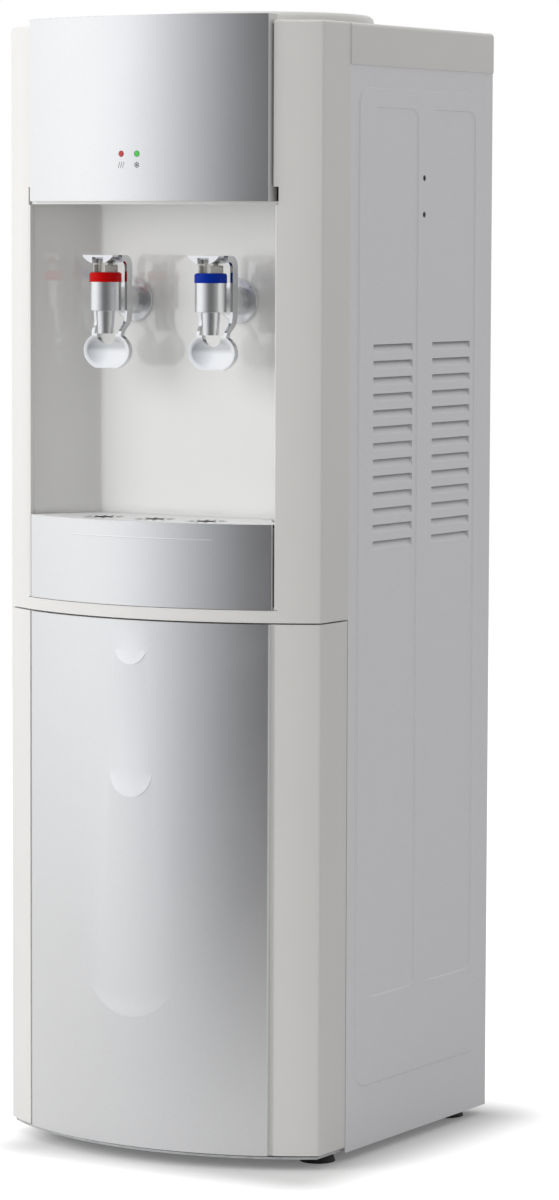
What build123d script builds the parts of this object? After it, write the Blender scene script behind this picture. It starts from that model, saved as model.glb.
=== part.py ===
from build123d import *
import os
from math import cos, radians, sin, sqrt

# A floor-standing bottled-water cooler. Millimetres, +Z up, the front faces -Y.
# The origin is on the floor, under the middle of the cabinet.

# Cabinet: overall sizes and walls
cabinet_width = 312
overall_depth = 342
front_radius = 272
panel_proud = 4
return_depth = 43
sheet = 1
wall = 3
cover_wall = 1.2
cover_top = 2.5
joint_gap = 0.2
curve_gap = 0.3
panel_flange = 12
rear_recess = 4

# Heights, counted upwards from the floor
foot_height = 9
base_thickness = 2
base_flange = 20
side_overlap = 1.5
door_lift = 3.5
door_height = 445.8
door_gap = 1.2
lip_height = 10.3
tray_gap = 0.5
tray_height = 70.7
alcove_height = 266
notch_rise = 12
panel_height = 153
panel_rise = 5
skirt_height = 34.5
collar_rise = 13

# Front openings and the silver panels: the white pillar beside them and the gaps at their ends
pillar_width = 31.5
notch_width = 3.8
panel_end_gap = 2.6
tray_end_gap = 4.5
overlay_inset = 37
overlay_end_gap = 4
overlay_proud = 1.5
overlay_recess = 1.5
tray_proud = 1
panel_depth = 14
alcove_wall = 2.5
alcove_depth = 85
alcove_splay = 34.6
ledge_depth = 12
corner_round = 4
frame_round = 2.5
panel_round = 1.2

# Feet
foot_bottom_radius = 15
foot_top_radius = 12
foot_side_inset = 23
foot_front_lead = 7.2
foot_rear_inset = 30

# Side panel pressings
field_rise = 1
field_corner = 16
field_front = 14
field_rear = 15
field_top = 50
field_bottom = 52
window_front = 19
window_rear = 16
window_gap = 20
window_top = 16
window_bottom = 75
window_corner = 11
louvre_margin = 6.9
louvre_height = 8
louvre_depth = 4
louvre_pitch = 13.8
louvre_rows = 13
louvre_drop = 264.5
press_slope = 45
vent_hole_radius = 2.5
vent_hole_drops = (155.5, 124.5)

# Bottle seat on the top cover
collar_radius = 95
collar_edge = 6
collar_wall = 11
seat_ledge = 6
seat_ledge_rise = 5
seat_wall = 2.5
seat_flange = 13
gasket_thickness = 1.5
neck_bore_radius = 30.5
neck_bore_top = 15
neck_bore_depth = 35
sump_radius = 24
sump_depth = 30
probe_radius = 11
probe_bore = 7
probe_flange = 5
probe_below = 12
bottle_offset = 6

# Storage compartment and the works above it
liner_wall = 2.5
liner_side_room = 20.5
liner_rear_room = 49
liner_headroom = 4
shelf_thickness = 1.5
shelf_flange = 15
tap_rise = 183
tap_setback = 40
spigot_length = 20
hose_radius = 5
hose_bore = 3.5
hose_bend = 9
cold_hose_lead = 11
hot_hose_lead = 14
hose_room = 3
foam_wall = 15
foam_floor = 10
foam_lip = 2
tank_wall = 1.5
tank_lap = 3
hot_radius = 48
hot_height = 158
hot_floor = 13
stand_headroom = 62
power_width = 46
power_room = 6
block_proud = 6
cell_thickness = 4
sink_base = 5
fin_depth = 19
fan_depth = 16
fan_room = 4
drain_rise = 20
switch_rise = 143
switch_inset = 51
gland_rise = 51
gland_inset = 51

# Heights and places worked out from the sizes above
half_width = cabinet_width / 2
opening_half = half_width - pillar_width
upper_opening_half = opening_half - notch_width
panel_half = upper_opening_half - panel_end_gap
tray_half = opening_half - tray_end_gap
overlay_half = half_width - overlay_inset
overlay_recess_half = overlay_half + overlay_end_gap
rear_y = overall_depth / 2
front_apex = -overall_depth / 2 + panel_proud
arc_centre_y = front_apex + front_radius


def bow_y(radius, x):
    """Depth of a bowed front of this radius at a place across the width."""
    return arc_centre_y - sqrt(radius**2 - x**2)


corner_y = bow_y(front_radius, half_width)
seam_y = corner_y + return_depth
side_bottom = foot_height - side_overlap
base_top = foot_height + base_thickness
door_bottom = foot_height + door_lift
door_top = door_bottom + door_height
seam_z = door_top + door_gap
lip_top = seam_z + lip_height
tray_bottom = lip_top + tray_gap
tray_top = tray_bottom + tray_height
panel_bottom = tray_top + alcove_height
panel_top = panel_bottom + panel_height
frame_top = panel_top - panel_rise
skirt_bottom = frame_top - skirt_height
cover_underside = frame_top - cover_top
inner_half = half_width - sheet
rear_outside = rear_y - rear_recess
rear_inside = rear_outside - sheet
side_rear = rear_y - cover_wall
alcove_face = front_apex + alcove_depth
alcove_half = opening_half - joint_gap
splay_y = bow_y(front_radius - wall, alcove_half) + alcove_wall
splay_slope = alcove_splay / (alcove_face - splay_y)
tap_y = front_apex + tap_setback
tap_z = tray_top + tap_rise
tap_end = alcove_face + spigot_length
liner_half = inner_half - liner_side_room
liner_top = seam_z - liner_headroom
shelf_top = liner_top + shelf_thickness
hot_bottom = shelf_top + hot_floor
hot_top = hot_bottom + hot_height
stand_top = hot_top + stand_headroom
fan_front = rear_inside - fan_room - fan_depth
sink_front = fan_front - fin_depth - sink_base
block_rear = sink_front - cell_thickness
foam_rear = block_rear - block_proud
foam_front = tap_end + hot_hose_lead + hose_radius + hose_room
bottle_y = (foam_front + foam_rear) / 2 + bottle_offset
cold_radius = foam_rear - bottle_y - foam_wall
socket_top = frame_top - neck_bore_top
socket_bottom = socket_top - neck_bore_depth
sump_floor = socket_bottom - sump_depth
probe_end = sump_floor - probe_below
cold_bottom = stand_top + foam_floor
cold_top = probe_end + tank_lap
fan_z = (cold_bottom + cold_top) / 2
drain_z = hot_bottom + drain_rise
switch_x = switch_inset - half_width
switch_z = shelf_top + switch_rise
gland_x = half_width - gland_inset
gland_z = foot_height + gland_rise
bottle_axis = Axis((0, bottle_y, 0), (0, 0, 1))
bottle_plane = Plane(origin=(0, bottle_y, 0), x_dir=(1, 0, 0), z_dir=(0, -1, 0))


def front_plan(height, half, radius, back):
    """Plan at a height with a bowed front, two straight returns and a flat back."""
    shoulder = bow_y(radius, half)
    with BuildSketch(Plane.XY.offset(height)) as plan:
        with BuildLine():
            ThreePointArc((-half, shoulder), (0, arc_centre_y - radius), (half, shoulder))
            Polyline((half, shoulder), (half, back), (-half, back), (-half, shoulder))
        make_face()
    return plan.sketch


def splayed_plan(height, half, radius, back):
    """Plan at a height with a bowed front and sides that draw in behind the alcove's mouth to a flat back."""
    shoulder = bow_y(radius, half)
    back_half = half - (back - splay_y) * splay_slope
    with BuildSketch(Plane.XY.offset(height)) as plan:
        with BuildLine():
            ThreePointArc((-half, shoulder), (0, arc_centre_y - radius), (half, shoulder))
            Polyline(
                (half, shoulder),
                (half, splay_y),
                (back_half, back),
                (-back_half, back),
                (-half, splay_y),
                (-half, shoulder),
            )
        make_face()
    return plan.sketch


def bowed_band(height, half, radius, thickness):
    """Plan at a height of a bowed strip that lies inside the given radius."""
    inner = radius - thickness
    front = bow_y(radius, half)
    back = bow_y(inner, half)
    with BuildSketch(Plane.XY.offset(height)) as band:
        with BuildLine():
            ThreePointArc((-half, front), (0, arc_centre_y - radius), (half, front))
            Line((half, front), (half, back))
            ThreePointArc((half, back), (0, arc_centre_y - inner), (-half, back))
            Line((-half, back), (-half, front))
        make_face()
    return band.sketch


def front_edges(strip):
    """The four edges round the front face of a bowed strip."""
    return strip.faces().sort_by(Axis.Y)[0].edges()


def outline(plane, *points):
    """Straight-sided face on a plane."""
    with BuildSketch(plane) as face:
        with BuildLine():
            Polyline(*points, close=True)
        make_face()
    return face.sketch


def slab(height, x_low, x_high, y_low, y_high, corner=0):
    """Rectangle at a height, given by its sides, with rounded corners where asked."""
    width = x_high - x_low
    depth = y_high - y_low
    with BuildSketch(Plane.XY.offset(height)) as plan:
        with Locations(((x_low + x_high) / 2, (y_low + y_high) / 2)):
            if corner > 0:
                RectangleRounded(width, depth, corner)
            else:
                Rectangle(width, depth)
    return plan.sketch


def ring(height, x, y, radius, bore=0):
    """Disc at a height, with a bore where asked."""
    with BuildSketch(Plane.XY.offset(height)) as plan:
        with Locations((x, y)):
            Circle(radius)
            if bore > 0:
                Circle(bore, mode=Mode.SUBTRACT)
    return plan.sketch


def disc_facing_back(y, x, height, radius):
    """Disc in an upright plane, facing the rear of the cabinet."""
    with BuildSketch(Plane(origin=(x, y, height), x_dir=(-1, 0, 0), z_dir=(0, 1, 0))) as face:
        Circle(radius)
    return face.sketch


def plate_facing_back(y, x, height, width, tall, corner=0):
    """Rectangle in an upright plane, facing the rear of the cabinet."""
    with BuildSketch(Plane(origin=(x, y, height), x_dir=(-1, 0, 0), z_dir=(0, 1, 0))) as face:
        if corner > 0:
            RectangleRounded(width, tall, corner)
        else:
            Rectangle(width, tall)
    return face.sketch


standing = (Align.CENTER, Align.CENTER, Align.MIN)
os.makedirs("parts", exist_ok=True)

# Base plate: a flat floor that reaches forward under the door, with a turned-up pan behind it
base_inset = 3
with BuildPart() as base_plate:
    extrude(
        front_plan(foot_height, half_width - base_inset, front_radius - base_inset, seam_y + 2 * sheet),
        base_thickness,
    )
    extrude(slab(foot_height, -inner_half, inner_half, seam_y + sheet, rear_inside), base_flange)
    extrude(
        slab(base_top, -inner_half + sheet, inner_half - sheet, seam_y + 2 * sheet, rear_inside - sheet),
        base_flange,
        mode=Mode.SUBTRACT,
    )
base_plate.part.label = "base_plate"
export_step(base_plate.part, "parts/base_plate.step")

# Feet: four flared rubber cones under the base plate
foot_x = half_width - foot_side_inset
foot_rows = (seam_y - foot_front_lead, rear_y - foot_rear_inset)
foot_places = [(side * foot_x, y) for side in (-1, 1) for y in foot_rows]
with BuildPart() as feet:
    with Locations(*[(x, y, 0) for x, y in foot_places]):
        Cone(foot_bottom_radius, foot_top_radius, foot_height, align=standing)
feet.part.label = "feet"
export_step(feet.part, "parts/feet.step")

# Side panels: pressed steel with a raised border, two plain fields and two columns of louvres
side_top = cover_underside
field_low = side_bottom + field_bottom
field_high = side_top - field_top
field_y_low = seam_y + field_front
field_y_high = side_rear - field_rear
window_depth = (field_y_high - field_y_low - window_front - window_rear - window_gap) / 2
window_low = field_low + window_bottom
window_high = field_high - window_top
window_starts = (field_y_low + window_front, field_y_low + window_front + window_depth + window_gap)
louvre_width = window_depth - 2 * louvre_margin
louvre_top = side_top - louvre_drop - louvre_height
louvre_heights = [louvre_top - louvre_pitch * row for row in range(louvre_rows)]
vent_hole_y = window_starts[1] - window_gap / 2
facing_right = Plane(origin=(inner_half, 0, 0), x_dir=(0, 1, 0), z_dir=(1, 0, 0))


def pressing(shift, y_low, y_high, low, high, corner, taper_room):
    """Rounded field on the side panel, drawn in by the given room on every side."""
    with BuildSketch(facing_right.offset(shift)) as field:
        with Locations(((y_low + y_high) / 2, (low + high) / 2)):
            RectangleRounded(y_high - y_low - 2 * taper_room, high - low - 2 * taper_room, corner)
    return field.sketch


def louvre_section(plane, x_out, x_in, low, high):
    """Wedge sections of one column of louvres, open at their upper edge."""
    with BuildSketch(plane) as wedges:
        for base in louvre_heights:
            with BuildLine():
                Polyline((x_out, base + low), (x_out, base + high), (x_in, base + high), close=True)
            make_face()
    return wedges.sketch


with BuildPart() as right_side_panel:
    extrude(slab(side_bottom, inner_half, half_width, seam_y, side_rear), side_top - side_bottom)
    flange_x = inner_half - panel_flange
    extrude(slab(base_top, flange_x, inner_half, seam_y, seam_y + sheet), side_top - base_top)
    extrude(
        slab(base_top + base_flange, flange_x, inner_half, rear_inside - sheet, rear_inside),
        side_top - base_top - base_flange,
    )
    field = (field_y_low, field_y_high, field_low, field_high, field_corner)
    extrude(pressing(sheet, *field, 0), field_rise, taper=press_slope)
    extrude(pressing(0, *field, sheet / 2), field_rise, taper=press_slope, mode=Mode.SUBTRACT)
    for start in window_starts:
        window = (start, start + window_depth, window_low, window_high, window_corner)
        extrude(pressing(0, *window, -field_rise), field_rise, taper=press_slope)
        extrude(
            pressing(sheet + field_rise, *window, 0), -field_rise, taper=press_slope, mode=Mode.SUBTRACT
        )
        end = start + window_depth - louvre_margin
        inner_plane = Plane.XZ.offset(-end - sheet)
        extrude(
            louvre_section(inner_plane, inner_half, inner_half - louvre_depth, 0, louvre_height),
            louvre_width + 2 * sheet,
        )
        outer_plane = Plane.XZ.offset(-end)
        extrude(
            louvre_section(outer_plane, half_width, half_width - louvre_depth, sheet, louvre_height),
            louvre_width,
            mode=Mode.SUBTRACT,
        )
    with BuildSketch(facing_right):
        with Locations(*[(vent_hole_y, side_top - drop) for drop in vent_hole_drops]):
            Circle(vent_hole_radius)
    extrude(amount=sheet + field_rise, mode=Mode.SUBTRACT)
right_side_panel.part.label = "right_side_panel"
export_step(right_side_panel.part, "parts/right_side_panel.step")

with BuildPart() as left_side_panel:
    mirror(right_side_panel.part, about=Plane.YZ)
left_side_panel.part.label = "left_side_panel"
export_step(left_side_panel.part, "parts/left_side_panel.step")

# Rear panel: flat steel between the side panels, with a fan grille, switch and pipe openings
fan_size = 92
grille_slot = 4
grille_pitch = 9
fan_hole_radius = 43
switch_well_width = 12
switch_well_tall = 22
switch_well_gap = 8
switch_rim = 4
gland_radius = 8
drain_radius = 7
rear_top = cover_underside
switch_body_width = 2 * switch_well_width + switch_well_gap + 2 * switch_rim
switch_body_tall = switch_well_tall + 2 * switch_rim
grille_rows = int(2 * fan_hole_radius / grille_pitch)
with BuildPart() as rear_panel:
    extrude(slab(base_top, -inner_half, inner_half, rear_inside, rear_outside), rear_top - base_top)
    for row in range(grille_rows):
        lift = (row - (grille_rows - 1) / 2) * grille_pitch
        span = 2 * sqrt(fan_hole_radius**2 - lift**2) - grille_pitch
        extrude(
            plate_facing_back(rear_inside, 0, fan_z + lift, span, grille_slot, grille_slot / 2 - joint_gap),
            sheet,
            mode=Mode.SUBTRACT,
        )
    extrude(
        plate_facing_back(rear_inside, switch_x, switch_z, switch_body_width, switch_body_tall),
        sheet,
        mode=Mode.SUBTRACT,
    )
    for x, height, radius in ((gland_x, gland_z, gland_radius), (0, drain_z, drain_radius)):
        extrude(disc_facing_back(rear_inside, x, height, radius + joint_gap), sheet, mode=Mode.SUBTRACT)
rear_panel.part.label = "rear_panel"
export_step(rear_panel.part, "parts/rear_panel.step")

# Top cover: a skirted lid with a raised, rounded collar round the bottle seat
cover_corner = 2.5
cover_round = 3.5
cover_half = half_width + cover_wall
cover_front = seam_y + joint_gap
collar_top = frame_top + collar_rise
collar_inner = collar_radius - collar_wall
cover_hole = collar_inner - seat_ledge
ledge_z = frame_top + seat_ledge_rise
with BuildPart() as top_cover:
    extrude(slab(skirt_bottom, -cover_half, cover_half, cover_front, rear_y), skirt_height)
    fillet(top_cover.edges().filter_by(Axis.Z).group_by(Axis.Y)[-1], cover_corner)
    fillet(top_cover.faces().sort_by(Axis.Z)[-1].edges().sort_by(Axis.Y)[1:], cover_round)
    extrude(
        slab(skirt_bottom, -half_width, half_width, cover_front, rear_y - cover_wall),
        skirt_height - cover_top,
        mode=Mode.SUBTRACT,
    )
    with BuildSketch(bottle_plane):
        with BuildLine():
            Polyline(
                (collar_inner, collar_top),
                (collar_inner, ledge_z),
                (cover_hole, ledge_z),
                (cover_hole, cover_underside),
                (collar_radius, cover_underside),
                (collar_radius, collar_top - collar_edge),
            )
            edge_start = (collar_radius, collar_top - collar_edge)
            edge_end = (collar_radius - collar_edge, collar_top)
            RadiusArc(edge_start, edge_end, -collar_edge)
            Line(edge_end, (collar_inner, collar_top))
        make_face()
    revolve(axis=bottle_axis)
    extrude(ring(cover_underside, 0, bottle_y, cover_hole), seat_ledge_rise + cover_top, mode=Mode.SUBTRACT)
top_cover.part.label = "top_cover"
export_step(top_cover.part, "parts/top_cover.step")

# Seat gasket: a flat rubber ring on the ledge of the collar
with BuildPart() as seat_gasket:
    extrude(ring(ledge_z, 0, bottle_y, collar_inner - curve_gap, cover_hole + curve_gap), gasket_thickness)
seat_gasket.part.label = "seat_gasket"
export_step(seat_gasket.part, "parts/seat_gasket.step")

# Bottle seat: a funnel that centres the bottle, with a neck socket and a sump below it
flange_low = ledge_z + gasket_thickness
flange_high = flange_low + seat_wall
flange_radius = collar_inner - curve_gap
funnel_radius = collar_inner - seat_flange
socket_outer = neck_bore_radius + seat_wall
sump_outer = sump_radius + seat_wall
with BuildPart() as bottle_seat:
    revolve(
        outline(
            bottle_plane,
            (flange_radius, flange_low),
            (flange_radius, flange_high),
            (funnel_radius, flange_high),
            (neck_bore_radius, socket_top),
            (neck_bore_radius, socket_bottom),
            (sump_radius, socket_bottom),
            (sump_radius, sump_floor),
            (probe_radius + joint_gap, sump_floor),
            (probe_radius + joint_gap, sump_floor - seat_wall),
            (sump_outer, sump_floor - seat_wall),
            (sump_outer, socket_bottom - seat_wall),
            (socket_outer, socket_bottom - seat_wall),
            (socket_outer, socket_top - seat_wall),
            (funnel_radius, flange_low),
        ),
        axis=bottle_axis,
    )
bottle_seat.part.label = "bottle_seat"
export_step(bottle_seat.part, "parts/bottle_seat.step")

# Feed probe: a hollow peg in the sump that lets the water down into the cold tank
probe_tip = socket_bottom - seat_wall
probe_window = 6
probe_window_height = 14
with BuildPart() as feed_probe:
    extrude(ring(probe_end, 0, bottle_y, probe_radius, probe_bore), probe_tip - probe_end)
    extrude(ring(sump_floor, 0, bottle_y, probe_radius + probe_flange, probe_bore), seat_wall)
    across = 2 * probe_radius + seat_wall
    for width, depth in ((across, probe_window), (probe_window, across)):
        with Locations((0, bottle_y, sump_floor + 2 * seat_wall)):
            Box(width, depth, probe_window_height, align=standing, mode=Mode.SUBTRACT)
    fillet(feed_probe.edges().filter_by(GeomType.CIRCLE).sort_by(Axis.Z)[-1], seat_wall / 2)
feed_probe.part.label = "feed_probe"
export_step(feed_probe.part, "parts/feed_probe.step")

# Door hinge: the axis is set in from the left corner, and the door's back edge is rounded about it
hinge_radius = 7
hinge_pin_radius = 3
hinge_pin_depth = 15
hinge_pin_head = 3.8
hinge_clearance = 0.05
door_back = seam_y - door_gap
hinge_x = -half_width + hinge_radius
hinge_y = door_back - hinge_radius

# Front frame: the upper white front, open for the panel, the taps and the tray, with a lip below
notch_z = panel_bottom + notch_rise
band_cut = wall + 2 * panel_proud
with BuildPart() as front_frame:
    extrude(front_plan(seam_z, half_width, front_radius, seam_y), frame_top - seam_z)
    fillet(front_frame.edges().filter_by(Axis.Z).group_by(Axis.Y)[0], corner_round)
    fillet(front_frame.faces().sort_by(Axis.Z)[-1].edges().sort_by(Axis.Y)[:-1], frame_round)
    extrude(
        front_plan(seam_z + wall, half_width - wall, front_radius - wall, seam_y),
        frame_top - seam_z - 2 * wall,
        mode=Mode.SUBTRACT,
    )
    extrude(
        bowed_band(lip_top, opening_half, front_radius + 2 * panel_proud, band_cut),
        notch_z - lip_top,
        mode=Mode.SUBTRACT,
    )
    extrude(
        bowed_band(notch_z, upper_opening_half, front_radius + 2 * panel_proud, band_cut),
        frame_top - notch_z,
        mode=Mode.SUBTRACT,
    )
    extrude(bowed_band(lip_top - wall, opening_half, front_radius, ledge_depth), wall)
    extrude(ring(seam_z, hinge_x, hinge_y, hinge_pin_radius + hinge_clearance), wall, mode=Mode.SUBTRACT)
front_frame.part.label = "front_frame"
export_step(front_frame.part, "parts/front_frame.step")

# Tap alcove: the recess behind the taps, with splayed sides, and the bay that the drip tray slides into
tap_spread = 105.2
spigot_radius = 11
alcove_inner = alcove_half - alcove_wall
with BuildPart() as tap_alcove:
    extrude(
        splayed_plan(lip_top, alcove_half, front_radius - wall, alcove_face + alcove_wall),
        panel_bottom - lip_top,
    )
    extrude(
        splayed_plan(lip_top + alcove_wall, alcove_inner, front_radius + panel_proud, alcove_face),
        panel_bottom - lip_top - 2 * alcove_wall,
        mode=Mode.SUBTRACT,
    )
    for side in (-1, 1):
        extrude(
            disc_facing_back(alcove_face, side * tap_spread / 2, tap_z, spigot_radius + joint_gap),
            alcove_wall,
            mode=Mode.SUBTRACT,
        )
tap_alcove.part.label = "tap_alcove"
export_step(tap_alcove.part, "parts/tap_alcove.step")

# Control panel: a bowed silver shell with two lamp holes, seated on the alcove and on the frame's top
panel_radius = front_radius + panel_proud
panel_wall = 3
lamp_spread = 15.5
lamp_rise = 39
lamp_radius = 2.5
lamp_z = panel_bottom + lamp_rise
panel_apex = arc_centre_y - panel_radius
board_setback = 13
board_y = panel_apex + board_setback
board_boss_radius = 3.5
board_boss_spread = 48
with BuildPart() as control_panel:
    extrude(bowed_band(panel_bottom, panel_half, panel_radius, panel_depth), panel_height)
    fillet(front_edges(control_panel), panel_round)
    inner_radius = panel_radius - panel_wall
    extrude(
        bowed_band(panel_bottom + panel_wall, panel_half - panel_wall, inner_radius, panel_depth),
        panel_height - panel_wall - panel_rise,
        mode=Mode.SUBTRACT,
    )
    extrude(
        bowed_band(frame_top - wall - joint_gap, panel_half, front_radius - wall + joint_gap, panel_depth),
        wall + joint_gap,
        mode=Mode.SUBTRACT,
    )
    for side in (-1, 1):
        boss_x = side * board_boss_spread / 2
        boss_start = bow_y(panel_radius, boss_x + side * board_boss_radius) + panel_wall / 2
        extrude(disc_facing_back(boss_start, boss_x, lamp_z, board_boss_radius), board_y - boss_start)
        extrude(
            disc_facing_back(panel_apex, side * lamp_spread / 2, lamp_z, lamp_radius + joint_gap),
            board_setback,
            mode=Mode.SUBTRACT,
        )
control_panel.part.label = "control_panel"
export_step(control_panel.part, "parts/control_panel.step")

# Lamps: two clear lenses with a flange behind the panel, reaching back to the lamp board
lamp_flange = 1.5
lens_back = panel_apex + panel_wall + curve_gap
for side, name in ((-1, "hot_lamp"), (1, "cold_lamp")):
    lamp_x = side * lamp_spread / 2
    with BuildPart() as lamp:
        extrude(disc_facing_back(panel_apex, lamp_x, lamp_z, lamp_radius), board_setback)
        extrude(disc_facing_back(lens_back, lamp_x, lamp_z, lamp_radius + lamp_flange), lamp_flange)
        fillet(lamp.edges().filter_by(GeomType.CIRCLE).sort_by(Axis.Y)[0], lamp_flange / 2)
    lamp.part.label = name
    export_step(lamp.part, f"parts/{name}.step")

# Lamp board: a small circuit board across the two bosses
board_width = 62
board_tall = 24
board_thickness = 1.6
with BuildPart() as lamp_board:
    extrude(plate_facing_back(board_y, 0, lamp_z, board_width, board_tall), board_thickness)
lamp_board.part.label = "lamp_board"
export_step(lamp_board.part, "parts/lamp_board.step")

# Cabinet liner: the storage compartment, a box that is open to the front, with a flange round its mouth
liner_back = rear_outside - liner_rear_room
liner_bottom = foot_height + base_flange
liner_mouth = seam_y + sheet
with BuildPart() as cabinet_liner:
    extrude(slab(liner_bottom, -liner_half, liner_half, liner_mouth, liner_back), liner_top - liner_bottom)
    extrude(
        slab(liner_bottom, -inner_half, inner_half, liner_mouth, liner_mouth + liner_wall),
        liner_top - liner_bottom,
    )
    extrude(
        slab(
            liner_bottom + liner_wall,
            -liner_half + liner_wall,
            liner_half - liner_wall,
            liner_mouth,
            liner_back - liner_wall,
        ),
        liner_top - liner_bottom - 2 * liner_wall,
        mode=Mode.SUBTRACT,
    )
cabinet_liner.part.label = "cabinet_liner"
export_step(cabinet_liner.part, "parts/cabinet_liner.step")

# Works shelf: a steel pan on top of the liner that carries the tanks
shelf_back = rear_inside - sheet
with BuildPart() as works_shelf:
    extrude(slab(liner_top, -inner_half, inner_half, liner_mouth, shelf_back), shelf_flange)
    extrude(
        slab(
            shelf_top,
            -inner_half + shelf_thickness,
            inner_half - shelf_thickness,
            liner_mouth,
            shelf_back - shelf_thickness,
        ),
        shelf_flange,
        mode=Mode.SUBTRACT,
    )
works_shelf.part.label = "works_shelf"
export_step(works_shelf.part, "parts/works_shelf.step")

# Door shell: a bowed white box, open at the back, with hinge bosses in its left corner
door_rim = 28
door_mouth_half = half_width - door_rim
door_mouth_low = door_bottom + door_rim
door_mouth_high = door_top - door_rim
boss_height = 22
magnet_width = inner_half - panel_flange - liner_half
magnet_tall = 36
magnet_thickness = 4
magnet_x = liner_half + magnet_width / 2
magnet_rise = 307.5
magnet_z = door_bottom + magnet_rise
overlay_radius = front_radius + overlay_proud
with BuildPart() as door_shell:
    extrude(front_plan(door_bottom, half_width, front_radius, door_back), door_height)
    fillet(door_shell.edges().filter_by(Axis.Z).group_by(Axis.Y)[-1].sort_by(Axis.X)[0], hinge_radius)
    fillet(door_shell.edges().filter_by(Axis.Z).group_by(Axis.Y)[0], corner_round)
    room_radius = front_radius - wall - overlay_recess
    extrude(
        front_plan(door_bottom + wall, half_width - wall, room_radius, door_back - wall),
        door_height - 2 * wall,
        mode=Mode.SUBTRACT,
    )
    extrude(
        bowed_band(door_bottom, overlay_recess_half, overlay_radius, overlay_recess + overlay_proud),
        door_height,
        mode=Mode.SUBTRACT,
    )
    extrude(
        slab(door_mouth_low, -door_mouth_half, door_mouth_half, door_back - wall, door_back),
        door_mouth_high - door_mouth_low,
        mode=Mode.SUBTRACT,
    )
    extrude(ring(door_bottom, hinge_x, hinge_y, hinge_radius), boss_height)
    extrude(ring(door_top - boss_height, hinge_x, hinge_y, hinge_radius), boss_height)
    bore = hinge_pin_radius + hinge_clearance
    extrude(ring(door_bottom, hinge_x, hinge_y, bore), hinge_pin_depth, mode=Mode.SUBTRACT)
    extrude(ring(door_top - hinge_pin_depth, hinge_x, hinge_y, bore), hinge_pin_depth, mode=Mode.SUBTRACT)
    extrude(
        plate_facing_back(door_back - wall, magnet_x, magnet_z, magnet_width, magnet_tall),
        wall,
        mode=Mode.SUBTRACT,
    )
door_shell.part.label = "door_shell"
export_step(door_shell.part, "parts/door_shell.step")

# Door hinge pins: a headed pin hung in the front frame, and a shouldered pin on the base plate
with BuildPart() as door_hinge_pins:
    pin_low = door_top - hinge_pin_depth + curve_gap
    extrude(ring(pin_low, hinge_x, hinge_y, hinge_pin_radius), seam_z + wall - pin_low)
    extrude(ring(seam_z + wall, hinge_x, hinge_y, hinge_pin_head), base_thickness)
    pin_high = door_bottom + hinge_pin_depth - curve_gap
    extrude(ring(base_top, hinge_x, hinge_y, hinge_pin_radius), pin_high - base_top)
    extrude(ring(base_top, hinge_x, hinge_y, hinge_pin_head), door_bottom - base_top - curve_gap)
door_hinge_pins.part.label = "door_hinge_pins"
export_step(door_hinge_pins.part, "parts/door_hinge_pins.step")

# Door overlay: the silver front of the door, bonded in its recess, with three crescents that rise
# towards their lower edge. Each is given by its width, its height, its top above the door's foot and its rise
crescents = ((31.5, 12.3, 421.1, 1.4), (42, 20.5, 317.5, 1.4), (81, 23, 133.5, 0.9))


def raised_crescent(width, height, top, rise):
    """Segment with a straight top and a round lower edge, fading from its rise at the bottom to nothing."""
    foot = door_bottom + top - height
    with BuildPart() as crescent:
        with BuildSketch(Plane.XZ.offset(-arc_centre_y)):
            with BuildLine():
                Line((-width / 2, foot + height), (width / 2, foot + height))
                ThreePointArc((width / 2, foot + height), (0, foot), (-width / 2, foot + height))
            make_face()
        extrude(amount=overlay_radius + rise)
        with Locations((0, arc_centre_y, foot)):
            Cone(overlay_radius + rise, overlay_radius, height, align=standing, mode=Mode.INTERSECT)
            Cylinder(front_radius, height, align=standing, mode=Mode.SUBTRACT)
    return crescent.part


with BuildPart() as door_overlay:
    overlay_thickness = overlay_proud + overlay_recess - joint_gap
    extrude(bowed_band(door_bottom, overlay_half, overlay_radius, overlay_thickness), door_height)
    fillet(door_overlay.edges().filter_by(Axis.Z).group_by(Axis.Y)[0], panel_round)
    for size in crescents:
        add(raised_crescent(*size))
door_overlay.part.label = "door_overlay"
export_step(door_overlay.part, "parts/door_overlay.step")

# Door liner: the inner panel of the door, with a flange behind the rim and a shallow dished middle
door_liner_flange = 6
door_liner_dish = 2
with BuildPart() as door_liner:
    mouth_tall = door_mouth_high - door_mouth_low
    middle_z = (door_mouth_low + door_mouth_high) / 2
    extrude(
        plate_facing_back(
            door_back - wall - liner_wall,
            0,
            middle_z,
            2 * door_mouth_half + 2 * door_liner_flange,
            mouth_tall + 2 * door_liner_flange,
        ),
        liner_wall,
    )
    extrude(
        plate_facing_back(
            door_back - wall, 0, middle_z, 2 * door_mouth_half - 2 * joint_gap, mouth_tall - 2 * joint_gap
        ),
        wall,
    )
    extrude(
        plate_facing_back(
            door_back - door_liner_dish,
            0,
            middle_z,
            2 * door_mouth_half - 2 * door_rim,
            mouth_tall - 2 * door_rim,
            window_corner,
        ),
        door_liner_dish,
        mode=Mode.SUBTRACT,
    )
door_liner.part.label = "door_liner"
export_step(door_liner.part, "parts/door_liner.step")

# Door magnet in the rim, and the steel strike that it meets on the compartment's flange
with BuildPart() as door_magnet:
    extrude(
        plate_facing_back(
            door_back - magnet_thickness,
            magnet_x,
            magnet_z,
            magnet_width - 2 * joint_gap,
            magnet_tall - 2 * joint_gap,
        ),
        magnet_thickness,
    )
door_magnet.part.label = "door_magnet"
export_step(door_magnet.part, "parts/door_magnet.step")

with BuildPart() as door_strike:
    extrude(plate_facing_back(seam_y, magnet_x, magnet_z, magnet_width, magnet_tall), sheet)
door_strike.part.label = "door_strike"
export_step(door_strike.part, "parts/door_strike.step")

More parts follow.
